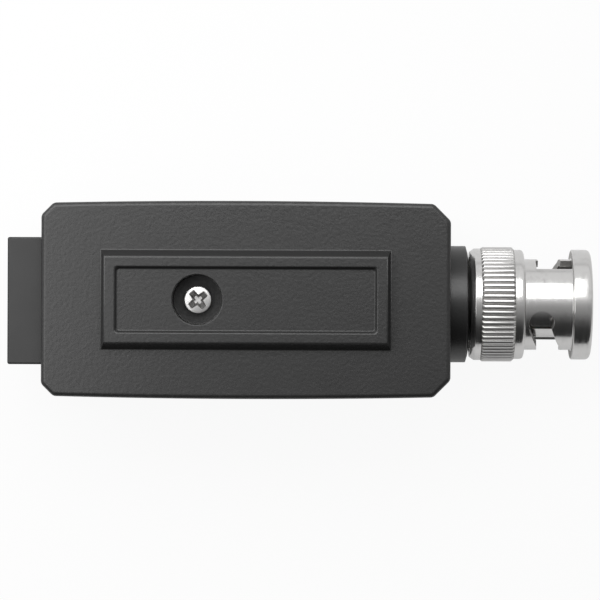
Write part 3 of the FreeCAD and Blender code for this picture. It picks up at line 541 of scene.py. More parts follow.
def hand_over(piece, body, slot, finishes, *nodes, smooth=35.0):
    """Smooth a piece, dress it, let it ride on its body and stand for its nodes."""
    shape(piece)
    bpy.ops.mesh.select_all(action="SELECT")
    # Cuts leave slivers on flat faces, and those would tilt the shading beside them.
    bpy.ops.mesh.dissolve_limited(angle_limit=math.radians(0.05))
    leave()
    bpy.ops.object.shade_smooth_by_angle(angle=math.radians(smooth))
    modify(piece, "WEIGHTED_NORMAL", keep_sharp=True)
    for finish in finishes:
        piece.data.materials.append(bpy.data.materials[finish])
    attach(piece, body)
    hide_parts(*nodes)


def dress(piece, index, test):
    """Give the faces whose middle passes a test another of the piece's finishes."""
    for face in piece.data.polygons:
        if test(face.center):
            face.material_index = index


def softened(node, name, width, body, slot, finishes):
    """A copy of a node merged to one skin, with its sharp edges taken off."""
    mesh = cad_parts[node].data.copy()
    mesh.materials.clear()
    piece = bpy.data.objects.new(name, mesh)
    bpy.context.scene.collection.objects.link(piece)
    take(piece)
    bpy.ops.mesh.customdata_custom_splitnormals_clear()
    shape(piece)
    close_skin()
    # The node comes as triangles, and a bevel needs its flat faces whole.
    bpy.ops.mesh.dissolve_limited(angle_limit=math.radians(1))
    leave()
    modify(piece, "BEVEL", width=width, segments=2, angle_limit=math.radians(40))
    hand_over(piece, body, slot, finishes, node)


def feed(tree, node, inputs):
    """Set a node's sockets to values, or link them from other sockets."""
    for name, value in inputs.items():
        if isinstance(value, bpy.types.NodeSocket):
            tree.links.new(value, node.inputs[name])
        else:
            node.inputs[name].default_value = value


def add_node(tree, kind, inputs, **settings):
    """Add a node with its settings, values and links."""
    node = tree.nodes.new("ShaderNode" + kind)
    for name, value in settings.items():
        setattr(node, name, value)
    feed(tree, node, inputs)
    return node


def new_finish(name, **values):
    """A material with its even values on the shader's own sockets; gives its tree, shader and coordinates."""
    material = bpy.data.materials.new(name)
    material.use_nodes = True
    tree = material.node_tree
    shader = tree.nodes["Principled BSDF"]
    for socket, value in values.items():
        shader.inputs[socket.replace("_", " ")].default_value = value
    place = add_node(tree, "TexCoord", {}).outputs["Object"]
    return tree, shader, place


def uneven(tree, shader, place, size, detail, gloss=None, relief=None):
    """Vary a finish in patches of a size: its roughness from end to end, its height by strength and depth."""
    patches = add_node(tree, "TexNoise", {"Vector": place, "Scale": 1 / size, "Detail": detail})
    height = patches.outputs["Fac"]
    if gloss:
        rough = add_node(tree, "MapRange", {"Value": height, "To Min": gloss[0], "To Max": gloss[1]})
        feed(tree, shader, {"Roughness": rough.outputs["Result"]})
    if relief:
        bump = add_node(tree, "Bump", {"Height": height, "Strength": relief[0], "Distance": relief[1]})
        feed(tree, shader, {"Normal": bump.outputs["Normal"]})


def spark_textured_abs(colours):
    """ABS moulded in a spark-eroded tool: an even fine grit that breaks the lamp's sheen into specks."""
    tree, shader, place = new_finish("Spark-textured ABS", Base_Color=colours.case, Roughness=0.42, IOR=1.54)
    # The real grit is finer than this, and would not show.
    uneven(tree, shader, place, 0.45 * MM, 3.0, relief=(0.8, 0.04 * MM))
    uneven(tree, shader, place, 4 * MM, 3.0, gloss=(0.38, 0.47))


def moulded_polyamide(colours):
    """Jack housing moulded in a polished tool: smooth, half gloss, with faint flow marks."""
    tree, shader, place = new_finish("Moulded polyamide", Base_Color=colours.jack, Roughness=0.48, IOR=1.5)
    uneven(tree, shader, place, 2.5 * MM, 2.0, gloss=(0.42, 0.54), relief=(0.3, 0.02 * MM))


def satin_nylon(colours):
    """Black nylon bush: satin, so the lamp shows on it as one soft streak."""
    tree, shader, place = new_finish("Satin nylon", Base_Color=colours.bush, Roughness=0.36, IOR=1.53)
    uneven(tree, shader, place, 0.4 * MM, 2.0, gloss=(0.3, 0.42), relief=(0.2, 0.01 * MM))


def turned_nickel(colours):
    """Nickel plate over turned brass: a mirror drawn out by fine rings from the lathe tool."""
    tree, shader, place = new_finish("Turned nickel plate", Base_Color=colours.nickel, Metallic=1.0)
    rings = add_node(tree, "Mapping", {"Vector": place, "Scale": (1.0, 0.03, 0.03)})
    fine = add_node(tree, "TexNoise", {
        "Vector": rings.outputs["Vector"], "Scale": 1 / (0.13 * MM), "Detail": 4.0})
    gloss = add_node(tree, "MapRange", {
        "Value": fine.outputs["Fac"], "From Min": 0.3, "From Max": 0.7, "To Min": 0.1, "To Max": 0.26})
    bump = add_node(tree, "Bump", {"Height": fine.outputs["Fac"], "Strength": 0.5, "Distance": 0.003 * MM})
    cloud = add_node(tree, "TexNoise", {"Vector": place, "Scale": 1 / (1.6 * MM), "Detail": 4.0})
    stain = add_node(tree, "MapRange", {
        "Value": cloud.outputs["Fac"], "From Min": 0.56, "From Max": 0.74, "To Min": 0.0, "To Max": 0.35})
    tone = add_node(tree, "MixRGB", {
        "Fac": stain.outputs["Result"], "Color1": colours.nickel, "Color2": colours.grime_and_valley_shade})
    feed(tree, shader, {"Normal": bump.outputs["Normal"], "Roughness": gloss.outputs["Result"]})
    feed(tree, shader, {"Base Color": tone.outputs["Color"]})


def milled_nickel(colours):
    """Plate over the bore and the slots' walls: the cutter's marks leave it grey and dull."""
    tree, shader, place = new_finish(
        "Milled nickel plate", Base_Color=colours.milled, Metallic=1.0, Roughness=0.5)
    uneven(tree, shader, place, 0.2 * MM, 3.0, gloss=(0.42, 0.6), relief=(0.4, 0.01 * MM))


def waist_shaded_nickel(colours):
    """Painted shade on the waist that the collar turns on: a dark, dull coat, so the gap behind it reads
    black.
    """
    tree, shader, place = new_finish(
        "Nickel plate with painted waist shade", Base_Color=colours.waist_shade, Roughness=0.5, IOR=1.47)
    uneven(tree, shader, place, 0.8 * MM, 2.0, gloss=(0.42, 0.6))


def knurled_nickel(colours):
    """The same plate on the knurl: full nickel on the crests, painted shade and a duller plate between the
    ridges.
    """
    tree, shader, place = new_finish("Knurled nickel plate", Base_Color=colours.nickel, Metallic=1.0)
    sizes = bpy.context.scene.balun_collar
    out = add_node(tree, "VectorMath", {0: place, 1: AXIS}, operation="SUBTRACT")
    flat = add_node(tree, "VectorMath", {0: out.outputs["Vector"], 1: (0.0, 1.0, 1.0)}, operation="MULTIPLY")
    radius = add_node(tree, "VectorMath", {0: flat.outputs["Vector"]}, operation="LENGTH")
    rise = add_node(tree, "MapRange", {
        "Value": radius.outputs["Value"], "From Min": sizes.knurl_root, "From Max": sizes.knurl_crest})
    # Painted shade: the plate darkens from the crest down into the valleys.
    tone = add_node(tree, "MixRGB", {
        "Fac": rise.outputs["Result"], "Color1": colours.grime_and_valley_shade, "Color2": colours.nickel})
    gloss = add_node(tree, "MapRange", {"Value": rise.outputs["Result"], "To Min": 0.48, "To Max": 0.28})
    feed(tree, shader, {"Base Color": tone.outputs["Color"], "Roughness": gloss.outputs["Result"]})
    uneven(tree, shader, place, 0.5 * MM, 4.0, relief=(0.4, 0.02 * MM))


def plated_steel(colours):
    """Pressed and plated steel screw: bright, with small dents that scatter the lamp."""
    tree, shader, place = new_finish("Plated steel", Base_Color=colours.steel, Metallic=1.0, Roughness=0.34)
    uneven(tree, shader, place, 0.5 * MM, 2.0, gloss=(0.28, 0.4), relief=(0.3, 0.015 * MM))


def recess_shaded_steel(colours):
    """Painted shade on the recess's walls: grey and dull, so the cross reads dark on the bright head."""
    tree, shader, place = new_finish("Steel with painted recess shade", Base_Color=colours.recess_shaded_steel, Metallic=1.0, Roughness=0.5)
    uneven(tree, shader, place, 0.3 * MM, 2.0, gloss=(0.4, 0.6))


def spring_steel(colours):
    """Hardened strip: grey, with the long faint lines of rolling."""
    tree, shader, place = new_finish("Spring steel", Base_Color=colours.steel, Metallic=1.0, Roughness=0.35)
    rolled = add_node(tree, "Mapping", {"Vector": place, "Scale": (1.0, 1.0, 0.05)})
    uneven(tree, shader, rolled.outputs["Vector"], 0.2 * MM, 3.0, gloss=(0.26, 0.44))


def gold_flash(colours):
    """Thin gold over bronze wire: warm, bright, a little uneven where the plate is thinner."""
    tree, shader, place = new_finish("Gold flash", Base_Color=colours.gold, Metallic=1.0, Roughness=0.2)
    uneven(tree, shader, place, 0.8 * MM, 3.0, gloss=(0.14, 0.3))


def moulded_ptfe(colours):
    """White insulator: waxy and dull, with light going a little way in."""
    tree, shader, place = new_finish(
        "Moulded PTFE", Base_Color=colours.insulator, Roughness=0.45, IOR=1.38, Subsurface_Weight=0.15,
        Subsurface_Scale=0.3 * MM)
    uneven(tree, shader, place, 0.6 * MM, 2.0, gloss=(0.38, 0.52))


def silicone(colours):
    """Red silicone seal: matte, with a dusty skin."""
    tree, shader, place = new_finish("Silicone", Base_Color=colours.gasket, Roughness=0.6, IOR=1.41)
    uneven(tree, shader, place, 0.25 * MM, 3.0, gloss=(0.5, 0.7))


def masked_laminate(colours):
    """Glass laminate under green solder mask: tracks show as paler lines, the weave as a faint ripple."""
    tree, shader, place = new_finish("Masked laminate", Base_Color=colours.board, Roughness=0.32, IOR=1.5)
    cells = add_node(tree, "TexBrick", {
        "Vector": place, "Color1": colours.board, "Color2": colours.board, "Mortar": colours.track,
        "Scale": 1 / (6 * MM), "Mortar Size": 0.06, "Brick Width": 0.9, "Row Height": 0.4})
    weave = add_node(tree, "TexWave", {"Vector": place, "Scale": 1 / (3 * MM), "Distortion": 0.4})
    bump = add_node(tree, "Bump", {"Height": weave.outputs["Fac"], "Strength": 0.15, "Distance": 0.01 * MM})
    feed(tree, shader, {"Base Color": cells.outputs["Color"], "Normal": bump.outputs["Normal"]})


def sintered_ferrite(colours):
    """Pressed and fired ferrite: dark grey grains, tumbled dull."""
    tree, shader, place = new_finish("Sintered ferrite", Base_Color=colours.ferrite, Roughness=0.55)
    grains = add_node(tree, "TexVoronoi", {"Vector": place, "Scale": 1 / (0.15 * MM)}).outputs["Distance"]
    bump = add_node(tree, "Bump", {"Height": grains, "Strength": 0.3, "Distance": 0.01 * MM})
    gloss = add_node(tree, "MapRange", {"Value": grains, "To Min": 0.45, "To Max": 0.65})
    feed(tree, shader, {"Normal": bump.outputs["Normal"], "Roughness": gloss.outputs["Result"]})


def enamelled_copper(colours):
    """Copper wire under clear enamel: a warm metal with a glassy coat."""
    tree, shader, place = new_finish(
        "Enamelled copper", Base_Color=colours.enamel, Metallic=0.9, Roughness=0.3, Coat_Weight=0.6,
        Coat_Roughness=0.1)
    uneven(tree, shader, place, 0.3 * MM, 2.0, gloss=(0.22, 0.38))


def moulded_epoxy(colours):
    """Diode bodies of moulded epoxy: black and fine-grained, with a pale cathode band."""
    tree, shader, place = new_finish("Moulded epoxy", Base_Color=colours.epoxy, Roughness=0.45, IOR=1.5)
    low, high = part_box("surge_diodes")
    parts = add_node(tree, "SeparateXYZ", {"Vector": place})
    band_x = (low.x + high.x) / 2 + 2.0 * MM
    half_band = 0.5 * MM
    near = add_node(tree, "Math", {0: parts.outputs["X"], 1: band_x, 2: half_band}, operation="COMPARE")
    tone = add_node(tree, "MixRGB", {
        "Fac": near.outputs["Value"], "Color1": colours.epoxy, "Color2": colours.band})
    feed(tree, shader, {"Base Color": tone.outputs["Color"]})
    uneven(tree, shader, place, 0.1 * MM, 2.0, relief=(0.3, 0.01 * MM))


def dipped_coating(colours):
    """Ceramic disc dipped in epoxy: glossy, with the ripple of a coat that ran before it set."""
    tree, shader, place = new_finish("Dipped coating", Base_Color=colours.dip, Roughness=0.22, IOR=1.5)
    uneven(tree, shader, place, 1.2 * MM, 2.0, relief=(0.4, 0.05 * MM))


def banded_lacquer(colours):
    """Resistor body in beige lacquer, with the rings of paint that tell its value."""
    tree, shader, place = new_finish("Banded lacquer", Base_Color=colours.resistor, Roughness=0.3, IOR=1.5)
    low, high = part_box("termination_resistor")
    parts = add_node(tree, "SeparateXYZ", {"Vector": place})
    body = 3.4 * MM
    along = add_node(tree, "MapRange", {
        "Value": parts.outputs["X"], "From Min": (low.x + high.x - body) / 2,
        "From Max": (low.x + high.x + body) / 2})
    ramp = add_node(tree, "ValToRGB", {"Fac": along.outputs["Result"]})
    ramp.color_ramp.interpolation = "CONSTANT"
    lacquer = colours.resistor
    # Where each ring starts and ends, as a share of the body's length
    rings = (
        (0.2, 0.27, "#6A2E1C"), (0.37, 0.44, "#1A1A1A"), (0.54, 0.61, "#C84A20"), (0.76, 0.83, "#C9A24A"),
    )
    elements = ramp.color_ramp.elements
    elements[0].color = lacquer
    elements[1].position = 0.95
    elements[1].color = lacquer
    for begins, ends, paint in rings:
        elements.new(begins).color = linear(paint)
        elements.new(ends).color = lacquer
    feed(tree, shader, {"Base Color": ramp.outputs["Color"]})


def extruded_pvc(colours):
    """Hook-up wire's jacket: soft grey PVC with a dull sheen."""
    tree, shader, place = new_finish("Extruded PVC", Base_Color=colours.jacket, Roughness=0.42, IOR=1.53)
    uneven(tree, shader, place, 0.5 * MM, 2.0, gloss=(0.36, 0.5))


class BALUN_OT_finishes(bpy.types.Operator):
    """Make every finish of the balun"""
    bl_idname = "balun.finishes"
    bl_label = "Finishes"

    def execute(self, context):
        colours = context.scene.balun_colours
        for make in (
            spark_textured_abs, moulded_polyamide, satin_nylon, turned_nickel, milled_nickel, waist_shaded_nickel,
            knurled_nickel, plated_steel, recess_shaded_steel, spring_steel, gold_flash, moulded_ptfe, silicone,
            masked_laminate, sintered_ferrite, enamelled_copper, moulded_epoxy, dipped_coating,
            banded_lacquer, extruded_pvc,
        ):
            make(colours)
        return {"FINISHED"}


def case_block(name, sizes, inset, bottom, top):
    """The case's plan as a block: cut and rounded corners and crowned sides, set in from the outside."""
    low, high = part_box("lower_shell")
    long = high.x - low.x - 2 * inset
    wide = high.y - low.y - 2 * sizes.crown - 2 * inset
    middle_x = (low.x + high.x) / 2
    bpy.ops.mesh.primitive_cube_add(
        size=1, location=(middle_x, 0, (bottom + top) / 2), scale=(long, wide, top - bottom)
    )
    piece = begin(name)
    # Set in by the same wall all round, a slanted corner's legs get shorter by this much.
    shrink = inset * (2 - math.sqrt(2))
    for end, cut in ((-1, sizes.corner_cut_jack), (1, sizes.corner_cut_plug)):
        pick(piece, "EDGE", lambda edge: upright(edge) and (centre(edge).x - middle_x) * end > long / 4)
        bevel(cut - shrink, segments=1)
    if not inset:
        pick(piece, "EDGE", upright)
        # Each corner that is left turns by 45 degrees.
        bevel(sizes.corner_round * math.tan(math.pi / 8), segments=4)
    pick(piece, "EDGE", lambda edge: span(edge).x > long / 2)
    columns = 16
    ends = [vertex.co.x for vertex in bmesh.from_edit_mesh(piece.data).verts if vertex.select]
    start = min(ends)
    stretch = max(ends) - start
    bpy.ops.mesh.subdivide(number_cuts=columns - 1)
    for share in shares(columns)[1:-1]:
        x = start + stretch * share
        # The long sides bulge as a parabola, most at their middle.
        rise = sizes.crown * 4 * share * (1 - share)
        pick(piece, "VERT", lambda vertex: abs(vertex.co.x - x) < 10 * SAME)
        bpy.ops.transform.resize(value=(1, 1 + 2 * rise / wide, 1), center_override=(0, 0, 0))
    leave()
    return piece


def outside_edges(piece, sizes, outside_z):
    """Round the outer rim of half a case and take off its edge along the seam."""
    shape(piece)
    pick(piece, "EDGE", lambda edge: level(edge, outside_z))
    bevel(sizes.rim_round, segments=6)
    pick(piece, "EDGE", lambda edge: level(edge, SEAM_Z))
    bevel(sizes.seam_cut, segments=1)
    leave()


def shares(steps):
    """Equal shares of a curve, from its start to its end."""
    return [i / steps for i in range(steps + 1)]


def eased(before, corner, after, share):
    """A point on the curve that leaves one line at before and joins the next at after, past their corner."""
    back = 1 - share
    return before * back * back + corner * 2 * back * share + after * share * share


def foot_inset(run, tall, curve, share):
    """How far in a leaning wall lies along the hollow curve at its foot."""
    lean = run / tall
    return eased(-curve * math.hypot(1, lean), 0.0, lean * curve, share)


def rim_inset(run, tall, curve, share):
    """How far in a leaning wall lies along the rounding at its top."""
    lean = run / tall
    return eased(run - lean * curve, run, run + curve * math.hypot(1, lean), share)


def panel_rungs(sizes, foot_z):
    """The raised panel from its foot up: a hollow curve, the leaning wall and a rounded rim."""
    tall = sizes.panel_height
    foot = sizes.panel_foot
    rim = sizes.panel_rim
    heights = [(foot_inset, foot, share, foot * share ** 2) for share in shares(5)]
    heights += [(rim_inset, rim, share, tall - rim * (1 - share) ** 2) for share in shares(5)]
    rungs = []
    for inset, curve, share, rise in heights:
        end = inset(sizes.panel_end_run, tall, curve, share)
        side = inset(sizes.panel_side_run, tall, curve, share)
        rungs.append((sizes.panel_length - 2 * end, sizes.panel_width - 2 * side, foot_z + rise))
    long, wide, z = rungs[0]
    return [(long, wide, z - PAST)] + rungs


def field_rungs(sizes, top_z):
    """What the sunk field takes out of the panel, from its floor up, with a rounded floor and rim."""
    run = sizes.field_run
    deep = sizes.field_depth
    edge = deep / 4
    outsets = []
    for share in shares(3):
        outsets.append((foot_inset(run, deep, edge, share) - run, top_z - deep + edge * share ** 2))
    for share in shares(3):
        outsets.append((rim_inset(run, deep, edge, share) - run, top_z - edge * (1 - share) ** 2))
    outsets.append((outsets[-1][0], top_z + PAST))
    return [(sizes.field_length + 2 * out, sizes.field_width + 2 * out, z) for out, z in outsets]


def wall_openings(sizes):
    """Cutters for the jack's window and the bush's hole in the case's end walls."""
    low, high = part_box("lower_shell")
    jack_low, jack_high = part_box("jack_housing")
    board_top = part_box("circuit_board")[1].z
    air = sizes.window_clearance
    window = block(
        "window", (low.x - PAST, jack_low.y - air, board_top - air),
        (low.x + sizes.wall + PAST, jack_high.y + air, jack_high.z + air),
    )
    radius = bpy.context.scene.balun_plug.bush_groove + air
    hole = rod("hole", high.x - sizes.wall - PAST, high.x + PAST, radius)
    return window, hole


class BALUN_OT_case(bpy.types.Operator):
    """Model the upper and lower halves of the moulded case"""
    bl_idname = "balun.case"
    bl_label = "Case halves"

    def execute(self, context):
        sizes = context.scene.balun_case
        screw_low, screw_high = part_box("case_screw")
        self.screw_x = (screw_low.x + screw_high.x) / 2
        self.pocket_z = screw_high.z - context.scene.balun_screw.head_height
        self.upper(sizes)
        self.lower(sizes)
        return {"FINISHED"}

    def upper(self, sizes):
        """The upper half, with the raised panel, its sunk field and the screw's pocket."""
        low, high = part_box("upper_shell")
        roof = high.z - sizes.panel_height
        middle_x = (low.x + high.x) / 2
        shell = case_block("case_upper", sizes, 0, SEAM_Z, roof)
        outside_edges(shell, sizes, roof)
        combine(shell, "UNION", stack("panel", middle_x, 0, panel_rungs(sizes, roof)))
        field = stack("field", middle_x, 0, field_rungs(sizes, high.z), corner=sizes.field_corner)
        combine(shell, "DIFFERENCE", field)
        hollow = case_block("hollow", sizes, sizes.wall, SEAM_Z - PAST, roof - sizes.wall)
        rebate_depth = sizes.wall - sizes.lip_thickness - sizes.lip_clearance
        rebate_top = SEAM_Z + sizes.lip_height + sizes.lip_clearance
        rebate = case_block("rebate", sizes, rebate_depth, SEAM_Z - PAST, rebate_top)
        combine(shell, "DIFFERENCE", hollow, rebate)
        radius = sizes.pocket_radius
        mouth = radius + 2 * sizes.pocket_round
        boss_top = self.pocket_z - sizes.pocket_floor
        tube = post("tube", self.screw_x, 0, boss_top, roof - sizes.wall / 2, radius + sizes.pocket_wall)
        combine(shell, "UNION", tube)
        field_z = high.z - sizes.field_depth
        pocket = spun_upright("pocket", self.screw_x, 0, [
            (self.pocket_z, 0, 0),
            (self.pocket_z, radius, BREAK),
            (field_z, radius, sizes.pocket_round),
            (field_z + HAIR, mouth, 0),
            (high.z + PAST, mouth, 0),
            (high.z + PAST, 0, 0),
        ], steps=128)
        screw = bpy.context.scene.balun_screw
        bore = post(
            "bore", self.screw_x, 0, boss_top - PAST, self.pocket_z + PAST, screw.shank + screw.hole_air
        )
        combine(shell, "DIFFERENCE", pocket, bore, *wall_openings(sizes))
        hand_over(shell, "balun", "case_plastic", ["Spark-textured ABS"], "upper_shell")

    def lower(self, sizes):
        """The lower half, with its lip, the screw's boss and the posts under the board."""
        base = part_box("lower_shell")[0].z
        board_low, board_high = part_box("circuit_board")
        shell = case_block("case_lower", sizes, 0, base, SEAM_Z)
        outside_edges(shell, sizes, base)
        inset = sizes.wall - sizes.lip_thickness
        lip = case_block("lip", sizes, inset, SEAM_Z - 2 * PAST, SEAM_Z + sizes.lip_height)
        combine(shell, "UNION", lip)
        hollow = case_block(
            "hollow", sizes, sizes.wall, base + sizes.wall, SEAM_Z + sizes.lip_height + PAST
        )
        combine(shell, "DIFFERENCE", hollow)
        floor = base + sizes.wall / 2
        boss_top = self.pocket_z - sizes.pocket_floor
        inner = [post("boss", self.screw_x, 0, floor, boss_top, sizes.boss_radius)]
        front_x = board_high.x - sizes.post_from_end
        side = board_high.y - sizes.post_from_end
        for x in (front_x - sizes.post_spacing, front_x):
            for y in (-side, side):
                inner.append(spun_upright("post", x, y, [
                    (floor, 0, 0),
                    (floor, sizes.post_radius, 0),
                    (board_low.z, sizes.post_radius, BREAK),
                    (board_low.z, sizes.peg_radius, 0),
                    (board_high.z, sizes.peg_radius, sizes.peg_round),
                    (board_high.z, 0, 0),
                ], steps=32))
        combine(shell, "UNION", *inner)
        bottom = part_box("case_screw")[0].z - 2 * PAST
        shank = bpy.context.scene.balun_screw.shank
        bore = post("bore", self.screw_x, 0, bottom, boss_top + PAST, shank)
        combine(shell, "DIFFERENCE", bore, *wall_openings(sizes))
        hand_over(shell, "balun", "case_plastic", ["Spark-textured ABS"], "lower_shell")


class BALUN_OT_screw(bpy.types.Operator):
    """Model the case screw: pan head, cross recess and thread"""
    bl_idname = "balun.screw"
    bl_label = "Case screw"

    def execute(self, context):
        sizes = context.scene.balun_screw
        low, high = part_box("case_screw")
        x = (low.x + high.x) / 2
        radius = (high.x - low.x) / 2
        seat = high.z - sizes.head_height
        rings = (0.78, 0.6, 0.4, 0.2, 0.0)
        crown = [(high.z - sizes.head_crown * share ** 2, radius * share, 0) for share in rings]
        screw = spun_upright("pan_head_screw", x, 0, [
            (low.z, 0, 0),
            (low.z, sizes.tip_radius, 0),
            (low.z + sizes.tip, sizes.core, 0),
            (seat, sizes.core, BREAK),
            (seat, radius, sizes.head_under),
            (high.z - sizes.head_crown, radius, sizes.head_round),
        ] + crown, steps=96)
        combine(screw, "UNION", self.thread(sizes, x, low.z + sizes.tip, seat))
        for quarter in (0, 90):
            arm = self.arm(sizes, high.z)
            arm.rotation_euler.z = sizes.cross_angle + math.radians(quarter)
            arm.location.x = x
            combine(screw, "DIFFERENCE", arm)
        hand_over(screw, "balun", "screw_steel", ["Plated steel", "Steel with painted recess shade"], "case_screw")

        def in_recess(middle):
            out = math.hypot(middle.x - x, middle.y)
            skin = high.z - sizes.head_crown * (out / radius) ** 2
            foot = high.z - sizes.cross_depth
            return out < sizes.cross_span * 0.6 and foot + SAME < middle.z < skin - 4 * HAIR

        # The recess's walls and floor get the steel with painted shade.
        dress(screw, 1, in_recess)
        return {"FINISHED"}

    def arm(self, sizes, top):
        """A cutter for one arm of the recess, narrow at its foot and flared at the head's skin."""
        long = sizes.cross_span
        width = sizes.cross_width
        flared = width * 1.35
        return stack("arm", 0, 0, [
            (long * 0.4, width * 0.5, top - sizes.cross_depth),
            (long * 0.7, width * 0.75, top - sizes.cross_depth * 0.45),
            (long * 0.92, width, top - sizes.head_crown),
            (long, flared, top),
            (long, flared, top + PAST),
        ], corner=BREAK)

    def thread(self, sizes, x, bottom, top):
        """The thread's ridge, wound round the core from the tip to under the head."""
        turns = (top - bottom - sizes.pitch) / sizes.pitch
        # The ridge's foot lies inside the core, and its crest is nearly sharp.
        inner = x + sizes.core * 0.9
        outer = x + sizes.shank
        half = sizes.pitch * 0.36
        ridge = chain("ridge", [
            Vector((inner, 0, bottom)),
            Vector((outer, 0, bottom + half * 0.9)),
            Vector((outer, 0, bottom + half * 1.1)),
            Vector((inner, 0, bottom + 2 * half)),
        ])
        bpy.ops.mesh.edge_face_add()
        steps_per_turn = 20
        steps = round(turns * steps_per_turn)
        wind(steps, turns * 2 * math.pi, Vector((0, 0, turns * sizes.pitch)), "Z", (x, 0, 0))
        close_skin()
        leave()
        return ridge


class BALUN_OT_jack(bpy.types.Operator):
    """Model the modular jack: housing, contact wires and their carrier"""
    bl_idname = "balun.jack"
    bl_label = "Modular jack"

    def execute(self, context):
        sizes = context.scene.balun_jack
        low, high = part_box("jack_housing")
        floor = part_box("circuit_board")[1].z
        middle = (low.y + high.y) / 2
        port_top = high.z - sizes.top_wall - sizes.wire
        port_low = port_top - sizes.port_height
        port_back = low.x + sizes.port_depth
        housing = block("jack_body", (low.x, low.y, floor), high)
        shape(housing)
        bpy.ops.mesh.select_all(action="SELECT")
        bevel(sizes.edge_round, segments=4)
        leave()
        latch_low = port_low - sizes.latch_height
        for wide, bottom, top in (
            (sizes.port_width, port_low, port_top),
            (sizes.latch_width, latch_low, port_low + PAST),
            (sizes.key_width, latch_low - sizes.key_height, port_low),
        ):
            port = self.port(port_back - low.x, wide, top - bottom, sizes.port_flare)
            port.location = (port_back, middle, (bottom + top) / 2)
            combine(housing, "DIFFERENCE", port)
        bed = (sizes.wire_pitch * (sizes.wire_count - 1) + sizes.wire) / 2 + sizes.bed_gap
        bed_x = low.x + sizes.bed_from_front
        half = sizes.port_width / 2
        roof = high.z - sizes.top_wall
        combine(
            housing, "DIFFERENCE",
            block("bed", (bed_x, middle - bed, port_top - PAST), (port_back, middle + bed, roof)),
            block(
                "back", (port_back - PAST, middle - half, floor - PAST), (high.x + PAST, middle + half, roof)
            ),
        )
        for side in (-1, 1):
            peg = spun_upright("peg", low.x + sizes.peg_from_front, middle + side * sizes.peg_spacing / 2, [
                (low.z, 0, 0),
                (low.z, sizes.peg_radius, sizes.peg_round),
                (floor + PAST, sizes.peg_radius, 0),
                (floor + PAST, 0, 0),
            ], steps=40)
            combine(housing, "UNION", peg)
        hand_over(housing, "balun", "jack_plastic", ["Moulded polyamide"], "jack_housing")
        softened("jack_contacts", "jack_wires", 0.05 * MM, "balun", "contact_gold", ["Gold flash"])
        softened("contact_carrier", "wire_carrier", 0.08 * MM, "balun", "jack_plastic", ["Moulded polyamide"])
        return {"FINISHED"}

    def port(self, deep, wide, tall, flare):
        """A cutter for one step of the port, lying along -X and flared at the front face."""
        cutter = stack("port", 0, 0, [
            (tall, wide, 0),
            (tall, wide, deep - flare),
            (tall + 2 * flare, wide + 2 * flare, deep),
            (tall + 2 * flare, wide + 2 * flare, deep + PAST),
        ])
        cutter.rotation_euler.y = -math.pi / 2
        return cutter


class BALUN_OT_bush(bpy.types.Operator):
    """Model the black bush that carries the plug in the case's end wall"""
    bl_idname = "balun.bush"
    bl_label = "Neck bush"

    def execute(self, context):
        sizes = context.scene.balun_plug
        low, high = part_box("neck_bush")
        face_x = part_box("lower_shell")[1].x
        wall = context.scene.balun_case.wall
        radius = outer_radius("neck_bush")
        bush = spun("bush", [
            (low.x, sizes.bush_bore, BREAK),
            (high.x, sizes.bush_bore, BREAK),
            (high.x, sizes.bush_nose, 0),
            (high.x - sizes.bush_nose_cut, radius, sizes.bush_edge),
            (face_x, radius, 0),
            (face_x, sizes.bush_groove, 0),
            (face_x - wall, sizes.bush_groove, 0),
            (face_x - wall, sizes.bush_flange, BREAK),
            (low.x, sizes.bush_flange, BREAK),
        ], steps=128)
        hand_over(bush, "balun", "bush_plastic", ["Satin nylon"], "neck_bush")
        return {"FINISHED"}


